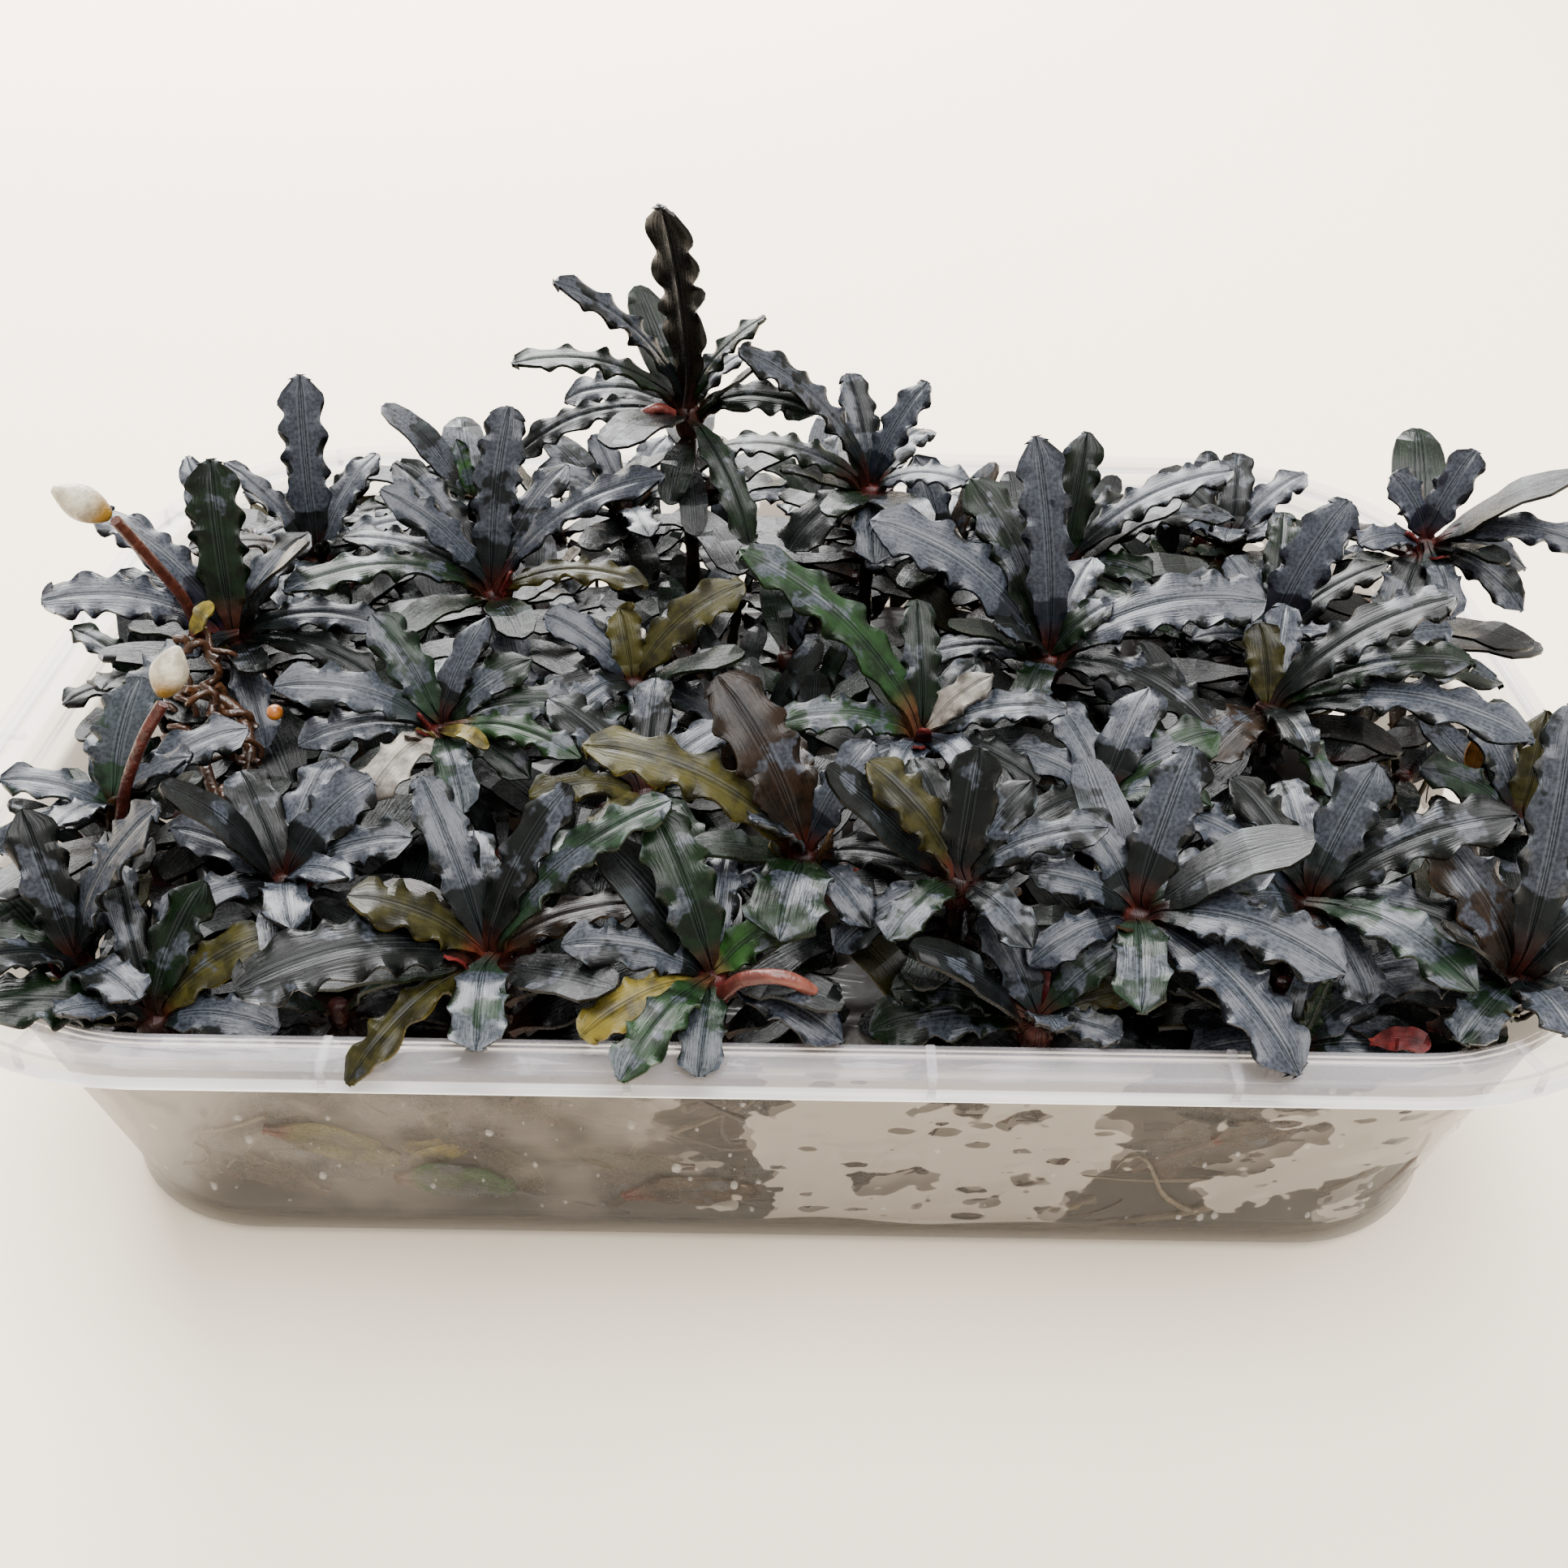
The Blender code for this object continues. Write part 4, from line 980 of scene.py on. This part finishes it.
def grow_plants():
    rng = random.Random(7)
    growth = Growth(tree_of([NODES[name] for name in PLANT_NAMES] + [NODES["tub"]]))
    leaves_of = {name: read_leaves(NODES[name]) for name in PLANT_NAMES}
    choose_tones([leaf for leaves in leaves_of.values() for leaf in leaves])
    parts_of, crowns = {}, {}
    for name in PLANT_NAMES:
        crown, stem = read_stem(NODES[name])
        crowns[name] = crown
        red = RED_CROWNS.get(name, OTHER_CROWNS)
        parts = []
        for index, leaf in enumerate(leaves_of[name]):
            blade = blade_for(leaf["length"], rng)
            colours, painted_sheen = blade_tones(blade, leaf["tone"], rng, red)
            ups = [(up + (CAMERA_PLACE - point).normalized() * VIEWER_ROLL).normalized()
                   for up, point in zip(leaf["ups"], leaf["spine"])]
            part = lay(blade, f"{name}_leaf_{index}", leaf["spine"], ups, leaf["half"] * LEAF_SLIMNESS)
            paint(part, colours, painted_sheen)
            parts.append(part)
        parts += add_leaves(growth, name, crown, LOW_LEAVES, rng, red, 13, (9, 17))
        down, _ = curve_through([crown, *reversed(stem[:3])], 13)
        parts += crown_and_stem(name, crown, down, red, 1.0)
        parts += sheaths(name, crown, red, rng)
        parts_of[name] = parts
    for index, spot in enumerate(bare_spots(growth)):
        owner = min(crowns, key=lambda name: (crowns[name] - spot - Vector((0, 0, crowns[name].z))).length)
        crown = spot + Vector((0, 0, rng.uniform(31, 36) * MM))
        red = rng.uniform(0, 0.5)
        shoot = f"{owner}_shoot_{index}"
        leaves = add_leaves(growth, shoot, crown, SHOOT_LEAVES, rng, red, 3, (7, 13))
        if not leaves:
            continue
        root = crown.lerp(Vector((crowns[owner].x, crowns[owner].y, ROOT_FLOOR)), 0.35)
        root.z = ROOT_FLOOR
        down, _ = curve_through([crown, crown.lerp(root, 0.5) + Vector((0, 0, -0.002)), root], 13)
        parts_of[owner] += leaves + crown_and_stem(shoot, crown, down, red, 0.7)
    for name in PLANT_NAMES:
        present(join(parts_of[name], name + "_grown"), "leaf", LEAF, name)


grow_plants()


# Tub

def wall_size(height, inset):
    share = height / FLARE
    length = TUB_BASE[0] + share * (TUB_RIM[0] - 2 * WALL_INSET - TUB_BASE[0]) - 2 * inset
    width = TUB_BASE[1] + share * (TUB_RIM[1] - 2 * WALL_INSET - TUB_BASE[1]) - 2 * inset
    radius = TUB_BASE[2] + share * (TUB_RIM[2] - WALL_INSET - TUB_BASE[2]) - inset
    return length, width, max(radius, 4.0), height


def rim_size(inset, height):
    return TUB_RIM[0] - 2 * inset, TUB_RIM[1] - 2 * inset, TUB_RIM[2] - inset, height


# The tub's outline in steps: up the outside of the wall, over flange, skirt and rim, and down inside.
# The steps of the walls give height and inset, those of the rim inset and depth under its top.
OUTER_WALL = ((0, 1.4), (0.35, 0.5), (1.3, 0.0), (6, 0.0), (14, 0.0), (24, 0.0), (33, 0.0), (36.8, 0.0))
RIM_STEPS = ((5.2, 2.1), (4.6, 1.5), (1.35, 1.4), (1.2, 1.6), (1.1, 2.5), (0.9, 2.65), (0.2, 2.65),
             (0.0, 2.45), (0.25, 0.6), (0.55, 0.15), (1.0, 0), (2.6, 0), (2.9, 0.12), (3.15, 0.62),
             (3.4, 0.72), (4.4, 0.72), (5.0, 0.95), (5.6, 1.6))
INNER_WALL = (*((height, WALL_THICKNESS) for height in (36.4, 33, 24, 14, 6, 2.2)), (1.35, 1.3), (1.0, 2.3))
TUB_PROFILE = [*(wall_size(height, inset) for height, inset in OUTER_WALL),
               *(rim_size(inset, TUB_TOP - depth) for inset, depth in RIM_STEPS),
               *(wall_size(height, inset) for height, inset in INNER_WALL)]


def make_tub():
    """The tub drawn out of its underside ring by ring, each corner brought to its radius."""
    first = TUB_PROFILE[0]
    deselect_all()
    bpy.ops.mesh.primitive_plane_add(size=1, location=(0, 0, 0))
    item = bpy.context.object
    item.scale = (first[0], first[1], 1)
    settle(item, "clear_tub")
    edit(item)
    bpy.ops.mesh.select_all(action="SELECT")
    bpy.ops.mesh.bevel(offset=first[2], segments=TUB_CORNER_STEPS, affect="VERTICES", profile=0.5)
    last = first
    for step in TUB_PROFILE[1:]:
        bpy.ops.mesh.select_all(action="DESELECT")
        pick(item, lambda co: abs(co.z - last[3]) < 1e-4 and abs(co.x) < 1 and abs(co.y) < 1, "FACE")
        bpy.ops.mesh.extrude_region_move(TRANSFORM_OT_translate={"value": (0, 0, 0)})
        moved = 0.0 if abs(step[3] - last[3]) > 1e-4 else 1.0
        bpy.ops.transform.translate(value=(0, 0, step[3] - last[3] + moved))
        for sx in (-1, 1):
            for sy in (-1, 1):
                level = step[3] + moved
                pick(item, lambda co: abs(co.z - level) < 1e-3 and co.x * sx > 0 and co.y * sy > 0)
                old = (sx * (last[0] / 2 - last[2]), sy * (last[1] / 2 - last[2]))
                new = (sx * (step[0] / 2 - step[2]), sy * (step[1] / 2 - step[2]))
                grow = step[2] / last[2]
                bpy.ops.transform.resize(value=(grow, grow, 1), center_override=(*old, level))
                bpy.ops.transform.translate(value=(new[0] - old[0], new[1] - old[1], 0))
        if moved:
            pick(item, lambda co: abs(co.z - step[3] - moved) < 1e-3)
            bpy.ops.transform.translate(value=(0, 0, -moved))
        last = step
    bpy.ops.mesh.select_all(action="SELECT")
    bpy.ops.transform.resize(value=(MM, MM, MM), center_override=(0, 0, 0))
    return finish_form(item, 40)


present(make_tub(), "clear_plastic", TUB, "tub")


def wall_point(share, height, inset):
    """A point of the wall and the way out of it, by its share of the way round from the front's middle."""
    length, width, radius, _ = wall_size(height, inset)
    straight_x, straight_y = length / 2 - radius, width / 2 - radius
    arc = math.pi / 2 * radius
    legs = (straight_x, arc, 2 * straight_y, arc, 2 * straight_x, arc, 2 * straight_y, arc, straight_x)
    travel = share % 1 * sum(legs)
    place, heading = Vector((0, -width / 2, height)), 0.0
    for index, leg in enumerate(legs):
        step = min(travel, leg)
        if index % 2 == 0:
            place += Vector((math.cos(heading), math.sin(heading), 0)) * step
        else:
            centre = place + Vector((-math.sin(heading), math.cos(heading), 0)) * radius
            heading += step / radius
            place = centre + Vector((math.sin(heading), -math.cos(heading), 0)) * radius
        travel -= step
        if travel <= 0:
            break
    return place * MM, Vector((math.sin(heading), -math.cos(heading), 0))


def way_round(height, inset):
    length, width, radius, _ = wall_size(height, inset)
    return 2 * (length + width) - 8 * radius + math.tau * radius


def small_box(name, place, size, bevel):
    """A box with softened edges, measured in millimetres."""
    deselect_all()
    bpy.ops.mesh.primitive_cube_add(size=1, location=Vector(place) * MM)
    box = bpy.context.object
    box.scale = Vector(size) * MM
    settle(box, name)
    edit(box)
    bpy.ops.mesh.select_all(action="SELECT")
    bpy.ops.mesh.bevel(offset=bevel * MM, segments=2, affect="EDGES")
    leave_edit()
    return box


def make_rim_ribs():
    """Small cross ribs over the flange and its skirt, evenly spaced around the rim."""
    rib = small_box("rib", (0, 0, 0), (0.9, 3.6, 0.55), 0.18)
    tick = small_box("tick", (0, -1.95, -1.2), (0.7, 0.45, 2.3), 0.12)
    form = join([rib, tick], "rim_rib")
    copies = []
    for index in range(RIM_RIBS):
        place, out = wall_point((index + 0.5) / RIM_RIBS, 36.0, -3.1)
        turn = math.atan2(out.y, out.x) + math.pi / 2
        copy = copy_of(form, f"rib_{index}")
        copy.data.transform(Matrix.Translation(Vector((place.x, place.y, (TUB_TOP - 0.32) * MM)))
                            @ Matrix.Rotation(turn, 4, "Z"))
        copies.append(copy)
    bpy.data.objects.remove(form)
    return smooth(join(copies, "rim_ribs"), 40)


present(make_rim_ribs(), "clear_plastic", TUB)


# Root mat, stones, stalks, buds

def copy_node(node, name):
    """A copy of a node's mesh with its corners merged."""
    item = copy_of(NODES[node], name)
    item.parent = None
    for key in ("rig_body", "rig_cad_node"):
        if key in item:
            del item[key]
    edit(item)
    bpy.ops.mesh.select_all(action="SELECT")
    bpy.ops.mesh.remove_doubles(threshold=MERGE)
    leave_edit()
    return item


def roughen(item, name, size, strength):
    """Round the piece off and raise it in lumps of a size."""
    active(item)
    rounding = item.modifiers.new("rounding", "SUBSURF")
    rounding.levels = rounding.render_levels = 3
    lumps = item.modifiers.new("lumps", "DISPLACE")
    texture = bpy.data.textures.new(name, "CLOUDS")
    texture.noise_scale = size
    lumps.texture = texture
    lumps.texture_coords = "LOCAL"
    lumps.strength = strength
    lumps.mid_level = 0.5
    for modifier in list(item.modifiers):
        bpy.ops.object.modifier_apply(modifier=modifier.name)
    return smooth(item, 80)


tangle = roughen(copy_node("root_mat", "root_tangle"), "root_lumps", 2.2 * MM, 1.8 * MM)
present(tangle, "roots", ROOT, "root_mat")

for index in range(1, 6):
    name = f"pebble_{index}"
    pebble = roughen(copy_node(f"stone_{index}", name), name, 1.6 * MM, 0.4 * MM)
    present(pebble, "pebble", STONE, f"stone_{index}")

STALK_ROD = model_tube("stalk_rod", 12, 24, lambda u: 1.0)
THIN_ROD = model_tube("thin_rod", 6, 14, lambda u: 1.0 - 0.75 * u)
BUD_FORM = model_tube("bud_form", 16, 14, lambda u: max(math.sin(math.pi * (0.06 + 0.90 * u)) ** 0.7
                                                        * (1 - 0.45 * max(u - 0.55, 0)), 0.1))
# An up direction that no strand runs along
SKEW = Vector((0.31, 0.87, 0.38))


def tones_along(form, tones, start, end):
    """Two tones blended along a form, from one share of its length to another."""
    share = np.clip((corners_of(form)[:, 0:1] - start) / (end - start), 0, 1)
    return np.array(tones[0]) * (1 - share) + np.array(tones[1]) * share


def tube(form, name, points, radius, tones, start=0, end=1):
    """A round strand through points in millimetres, from one tone to another along it."""
    line, _ = curve_through([Vector(point) * MM for point in points], SPINE_STEPS)
    rod = lay(form, name, line, [SKEW] * SPINE_STEPS, radius * MM, radius * MM)
    colours = tones_along(form, tones, start, end)
    paint(rod, colours, np.zeros(len(colours)))
    return rod


ORANGE_ROOT = ((0.060, 0.022, 0.007), (0.028, 0.010, 0.004))
DARK_ROOT = ((0.016, 0.008, 0.005), (0.010, 0.006, 0.004))
TAN_ROOT = ((0.130, 0.095, 0.050), (0.090, 0.065, 0.035))
# Each by its solid: points in millimetres, radius, tones
STALKS = {
    "bud_stalk_1": (((-63.4, -5, 48.8), (-63.2, -7.5, 55), (-64.2, -10.2, 61), (-65.6, -12.4, 66.6)),
                    0.6, ((0.045, 0.006, 0.004), (0.085, 0.026, 0.015))),
    "bud_stalk_2": (((-64.4, -31, 43.6), (-62.2, -31.6, 49), (-59.6, -31, 54), (-57.4, -30, 57.2)),
                    0.58, ((0.040, 0.006, 0.004), (0.070, 0.014, 0.009))),
    "arched_stalk_1": (((-13.6, 21.4, 63.4), (-15.2, 20.2, 64.6), (-17.2, 19.6, 63.6), (-17.8, 19.6, 60.8)),
                       0.62, ((0.110, 0.020, 0.015), (0.150, 0.035, 0.025))),
    "arched_stalk_2": (((-5, -52.4, 43.4), (-3, -53.4, 46.2), (0.8, -53.8, 46.6), (4.2, -53.6, 43.2)),
                       0.66, ((0.070, 0.010, 0.008), (0.180, 0.058, 0.040))),
}
# Each by its solid: points in millimetres, radius
LOOSE_ROOTS = {
    "root_1": (((-67, -9, 43), (-63, -11.5, 46), (-58, -13, 44.5), (-56, -18, 41), (-58, -22, 36)), 0.7),
    "root_2": (((-66, -14, 41.5), (-61.5, -17, 43.5), (-57.5, -24, 41), (-53, -27, 37)), 0.6),
    "root_3": (((-50, -26, 40), (-52.5, -28.5, 42.5), (-55.5, -28.8, 40.5), (-53.5, -29.5, 37)), 0.6),
}
BUD_TONES = ((0.24, 0.13, 0.018), (0.46, 0.41, 0.31))
# Each by its solid: centre, length and radius in millimetres, heading and rise in degrees
BUDS = {
    "flower_bud_1": ((-67.3, -14.6, 69.6), 5.6, 1.75, (200, 40)),
    "flower_bud_2": ((-56.2, -29.4, 60.4), 5.0, 1.7, (40, 60)),
}
for node, (route, radius, tones) in STALKS.items():
    present(tube(STALK_ROD, node + "_round", route, radius, tones), "stalk", GROWN, node)
for node, (route, radius) in LOOSE_ROOTS.items():
    present(tube(STALK_ROD, node + "_round", route, radius, ORANGE_ROOT), "roots", WET, node)
for node, (centre, length, radius, (heading, rise)) in BUDS.items():
    axis = direction(math.radians(heading), math.radians(rise))
    points = [Vector(centre) + axis * length * share for share in (-0.5, -0.2, 0.2, 0.5)]
    present(tube(BUD_FORM, node + "_round", points, radius, BUD_TONES, 0.18, 0.48), "bud", GROWN, node)
fruit = roughen(copy_node("berry", "orange_fruit"), "fruit", 3 * MM, 0.1 * MM)
present(fruit, "fruit", FRUIT, "berry")


def curly_route(start, end, loops, swing, rng):
    """A route that winds around the line between two points."""
    start, end = Vector(start), Vector(end)
    ahead = (end - start).normalized()
    side = ahead.cross(SKEW).normalized()
    up = side.cross(ahead)
    first = rng.uniform(0, math.tau)
    points = []
    for step in range(8 * loops + 1):
        share = step / (8 * loops)
        turn = first + math.tau * loops * share
        reach = swing * math.sin(math.pi * min(share * 1.1 + 0.05, 1)) * rng.uniform(0.8, 1.15)
        points.append(start.lerp(end, share) + (side * math.cos(turn) + up * math.sin(turn)) * reach)
    return points


def root_curls():
    """Tight orange-brown curls of root at the left, among the bud stalks."""
    rng = random.Random(31)
    runs = (((-65, -8, 50), (-60, -10, 49), 2, 1.1), ((-63, -13, 47), (-59, -15, 45), 2, 1.3),
            ((-61, -9, 49), (-60, -15, 45), 2, 0.9), ((-57, -17, 43), (-54, -20, 43), 2, 1.5),
            ((-61, -18, 44), (-56, -19, 42), 1, 1.2), ((-64, -10, 47), (-62, -17, 43), 2, 1.0),
            ((-66, -12, 45), (-60, -20, 41), 3, 0.8), ((-55, -22, 42), (-59, -24, 39), 2, 1.2),
            ((-62, -7, 51), (-58, -9, 47), 1, 1.0), ((-60, -12, 47), (-56, -14, 43), 1, 1.4))
    rods = []
    for index, (start, end, loops, swing) in enumerate(runs):
        route = curly_route(start, end, loops, swing, rng)
        line, _ = curve_through([point * MM for point in route], 37)
        rods.append(tube(STALK_ROD, f"curl_{index}", [point / MM for point in line], rng.uniform(0.3, 0.5),
                         (Vector(ORANGE_ROOT[0]) * rng.uniform(0.7, 1.6), ORANGE_ROOT[1])))
    return join(rods, "root_curls")


present(root_curls(), "roots", WET)


# What lies between the wall and the root mat

def round_share(x, height, inset):
    """The share of the way round at a place x along the front wall."""
    return x / way_round(height, inset)


def press_on_wall(blade, name, share, height, length, half, turn, inset, tone, rng):
    """A blade that lies against the inside of the wall."""
    around = way_round(height, inset)
    spine, ups = [], []
    for step in range(SPINE_STEPS):
        along = (step / (SPINE_STEPS - 1) - 0.5) * length
        bend = 0.08 * length * math.sin(math.pi * step / (SPINE_STEPS - 1))
        level = height + math.sin(turn) * along + math.cos(turn) * bend
        sideways = math.cos(turn) * along - math.sin(turn) * bend
        point, out = wall_point(share + sideways / around, max(level, 1.6), inset)
        spine.append(point)
        ups.append((out + Vector((0, 0, -0.2))).normalized())
    colours, painted_sheen = blade_tones(blade, tone, rng, 0.2)
    part = lay(blade, name, spine, ups, half * MM, MM * 0.45)
    paint(part, colours, painted_sheen)
    return part


# Each by its solid: place along the front, height, length and width in millimetres, turn in degrees, tone
FALLEN_LEAVES = {
    "fallen_leaf_1": (45.4, 22.4, 7.0, 5.0, 20, "brown"),
    "fallen_leaf_2": (-9.0, 7.5, 14.0, 6.0, 4, "brown"),
    "fallen_leaf_3": (-33.0, 9.0, 12.0, 7.0, -12, "green"),
    "fallen_leaf_4": (-44.0, 17.0, 13.0, 6.0, -35, "olive"),
}
FALLEN_INSET = 1.7
litter_rng = random.Random(41)
for node, (x, height, length, width, turn, tone) in FALLEN_LEAVES.items():
    share = round_share(x, height, FALLEN_INSET)
    dead = press_on_wall(BLADES["dead"][0], node + "_blade", share, height, length, width / 2,
                         math.radians(turn), FALLEN_INSET, tone, litter_rng)
    brighten(dead, 2.6)
    present(dead, "green_leaf" if tone != "brown" else "brown_leaf", LEAF, node)


LEFT_LITTER = {"olive": 6, "brown": 5, "yellow": 2, "black": 4, "green": 2, "slate": 3, "crimson": 1}
RIGHT_LITTER = {"olive": 2, "brown": 2, "black": 5, "slate": 3}
FAR_LITTER = {"olive": 2, "brown": 2, "black": 5, "dark_green": 3, "slate": 3}


def wall_litter():
    """Leaves pressed against the inside of the wall, most of them at the left of the front."""
    rng = random.Random(43)
    parts = []
    for index in range(90):
        if index < 26:
            share = round_share(rng.uniform(-58, -6), 20, 2)
            tone = draw_tone(rng, LEFT_LITTER)
        elif index < 40:
            share = round_share(rng.uniform(-6, 58), 20, 2)
            tone = draw_tone(rng, RIGHT_LITTER)
        else:
            share = rng.uniform(0.18, 0.82)
            tone = draw_tone(rng, FAR_LITTER)
        length = rng.uniform(7, 15)
        blade = rng.choice(BLADES["low"])
        height = rng.uniform(6, 32)
        half = length * rng.uniform(0.14, 0.22)
        turn = rng.uniform(0, math.tau)
        inset = rng.uniform(2.3, 4.0)
        part = press_on_wall(blade, f"litter_{index}", share, height, length, half, turn, inset, tone, rng)
        brighten(part, rng.uniform(1.2, 3.0))
        parts.append(part)
    return join(parts, "wall_litter")


present(wall_litter(), "brown_leaf", LEAF)


# Roots seen through the front wall: radius, then places along the front with their heights
FRONT_ROOTS = (
    (0.45, ((44.0, 5.4), (41.3, 7.3), (39.2, 10.1), (37.8, 13.7), (36.1, 17.4), (34.3, 17.7),
            (33.6, 14.8))),
    (0.75, ((57.5, 21.5), (51.5, 16.0), (48.0, 10.4), (43.3, 5.8), (36.3, 2.9), (28.9, 2.0),
            (20.0, 1.7))),
    (0.35, ((52.0, 14.0), (44.0, 13.0), (36.0, 12.6), (30.0, 13.4))),
)


def held(value, low, high):
    return max(min(value, high), low)


def wall_roots():
    """Roots that wander over the sides of the root mat, with three of their own in front."""
    rng = random.Random(47)
    rods = []
    for index in range(150):
        share, height = rng.random(), rng.uniform(4, 30)
        drift, climb = rng.uniform(-1, 1), rng.uniform(-1, 1)
        inset = rng.uniform(1.8, 4.2)
        route = []
        for step in range(9):
            point, _ = wall_point(share, height, inset)
            route.append(point / MM)
            drift = held(drift + rng.uniform(-0.7, 0.7), -1, 1)
            climb = held(climb + rng.uniform(-0.7, 0.7), -1, 1)
            stride = rng.uniform(1.5, 4.0)
            share += drift * stride / way_round(height, inset)
            height = held(height + climb * stride, 2.6, 31)
            inset = held(inset + rng.uniform(-0.5, 0.5), 1.5, 4.4)
        tones = rng.choices((ORANGE_ROOT, DARK_ROOT, TAN_ROOT), (5, 6, 4))[0]
        rods.append(tube(THIN_ROD, f"strand_{index}", route, rng.uniform(0.22, 0.55), tones))
    for index, (radius, places) in enumerate(FRONT_ROOTS):
        route = [wall_point(round_share(x, height, 1.6), height, 1.6)[0] / MM for x, height in places]
        rods.append(tube(THIN_ROD, f"front_root_{index}", route, radius, TAN_ROOT))
    return join(rods, "wall_roots")


present(wall_roots(), "roots", WET)


def wall_drops():
    """Drops of water on the inside of the wall."""
    rng = random.Random(53)
    deselect_all()
    bpy.ops.mesh.primitive_ico_sphere_add(subdivisions=2, radius=1, location=(0, 0, 0))
    form = settle(bpy.context.object, "drop_form")
    edit(form)
    bpy.ops.mesh.select_all(action="SELECT")
    bpy.ops.transform.resize(value=(1, 1, 0.45), center_override=(0, 0, 0))
    leave_edit()
    active(form)
    bpy.ops.object.shade_smooth()
    drops = []
    for index in range(230):
        share = rng.uniform(-0.16, 0.16) if index < 150 else rng.random()
        point, out = wall_point(share, rng.uniform(5, 35), 1.0)
        radius = 0.14 + 0.42 * rng.random() ** 4
        drop = copy_of(form, f"drop_{index}")
        turn = out.to_track_quat("Z", "Y").to_matrix().to_4x4()
        width = radius * rng.uniform(0.7, 1.0)
        height = radius * rng.uniform(0.9, 1.5)
        shape = Matrix.Diagonal((width * MM, height * MM, radius * MM, 1))
        drop.data.transform(Matrix.Translation(point) @ turn @ shape)
        drops.append(drop)
    bpy.data.objects.remove(form)
    return join(drops, "wall_drops")


present(wall_drops(), "water", DROP)


# Shreds: both ends and half the width in millimetres, tone
SHREDS = (
    ((-34.5, -20.8, 47.6), (-29.2, -24.3, 48.4), 0.8, "yellow"),
    ((-62.6, -8.6, 51), (-60.2, -7.2, 54), 0.9, "yellow"),
    ((72.6, -16.5, 40.5), (74.0, -14.0, 45), 1.5, "orange"),
    ((-19.6, 7.8, 42), (-17.6, 6.2, 46.4), 1.0, "yellow"),
    ((-17.4, 3.6, 42), (-16.0, 2.2, 45), 1.1, "pale"),
    ((-27.0, 13.6, 46.4), (-24.6, 15.0, 49), 0.6, "pale"),
    ((-31.5, -42.5, 38), (-28.5, -44.0, 38.6), 1.1, "pale"),
    ((0.5, -32.5, 40), (5.6, -35.8, 42.6), 1.3, "orange"),
    ((8.0, -33.5, 41), (12.4, -37.0, 41.4), 1.0, "brown"),
    ((58, -50, 38), (63, -52, 38.4), 1.3, "brown"),
    ((53, -51, 37), (57, -53, 38.6), 1.1, "crimson"),
)


def dead_shreds():
    """Yellow, orange and brown remains of leaves and petioles that lie among the crowns."""
    rng = random.Random(59)
    parts = []
    for index, (start, end, half, tone) in enumerate(SHREDS):
        start, end = Vector(start) * MM, Vector(end) * MM
        lift = Vector((0, 0, (end - start).length * 0.15))
        bent = [start, start.lerp(end, 0.35) + lift, start.lerp(end, 0.7) + lift, end]
        spine, _ = curve_through(bent, SPINE_STEPS)
        blade = rng.choice(BLADES["low"])
        colours, painted_sheen = blade_tones(blade, tone, rng, 0.4)
        up = Vector((0.1, -0.5, 0.85)).normalized()
        part = lay(blade, f"shred_{index}", spine, [up] * SPINE_STEPS, half * MM)
        paint(part, colours * 1.6, painted_sheen)
        parts.append(part)
    return join(parts, "dead_shreds")


present(dead_shreds(), "brown_leaf", LEAF)
for blades in BLADES.values():
    for blade in blades:
        bpy.data.objects.remove(blade)
for form in (STEM_ROD, CROWN_ROD, STALK_ROD, THIN_ROD, BUD_FORM):
    bpy.data.objects.remove(form)
NODES["water"].data.materials.clear()
NODES["water"].data.materials.append(WATER)


# Floor, light and camera

FLOOR_LEVEL = -0.0004
FLOOR_COLOUR = (0.92, 0.80, 0.64, 1)
ROOM_COLOUR = (1.0, 0.95, 0.88, 1)
ROOM_STRENGTH = 1.15
# Each light: name, place, size in metres, power
LIGHTS = (("window", (-0.30, 0.95, 0.75), 1.0, 70.0), ("ceiling", (0.25, -0.20, 1.1), 0.9, 34.0))
LIGHT_AIM = Vector((0, 0, 0.03))


def stage_scene():
    deselect_all()
    bpy.ops.mesh.primitive_plane_add(size=4, location=(0, 0, FLOOR_LEVEL))
    floor = bpy.context.object
    floor.name = "floor"
    paper, _, shader = shader_of("floor_paper")
    shader.inputs["Base Color"].default_value = FLOOR_COLOUR
    shader.inputs["Roughness"].default_value = 0.9
    floor.data.materials.append(paper)
    world = bpy.data.worlds.new("pale_room")
    bpy.context.scene.world = world
    world.use_nodes = True
    world.node_tree.nodes["Background"].inputs[0].default_value = ROOM_COLOUR
    world.node_tree.nodes["Background"].inputs[1].default_value = ROOM_STRENGTH
    for name, place, size, power in LIGHTS:
        light = bpy.data.lights.new(name, "AREA")
        light.energy = power
        light.size = size
        lamp = bpy.data.objects.new(name, light)
        lamp.location = place
        lamp.rotation_euler = (LIGHT_AIM - Vector(place)).to_track_quat("-Z", "Y").to_euler()
        bpy.context.collection.objects.link(lamp)
    lens = bpy.data.cameras.new("viewpoint")
    lens.sensor_width = SENSOR_WIDTH
    lens.lens = SENSOR_WIDTH * FOCAL_PIXELS / PICTURE_PIXELS
    lens.clip_start = 0.005
    camera = bpy.data.objects.new("viewpoint", lens)
    camera.matrix_world = (Matrix.Translation(CAMERA_PLACE) @ Matrix.Rotation(CAMERA_TILT, 4, "X")
                           @ Matrix.Rotation(CAMERA_ROLL, 4, "Z"))
    bpy.context.collection.objects.link(camera)
    bpy.context.scene.camera = camera


stage_scene()
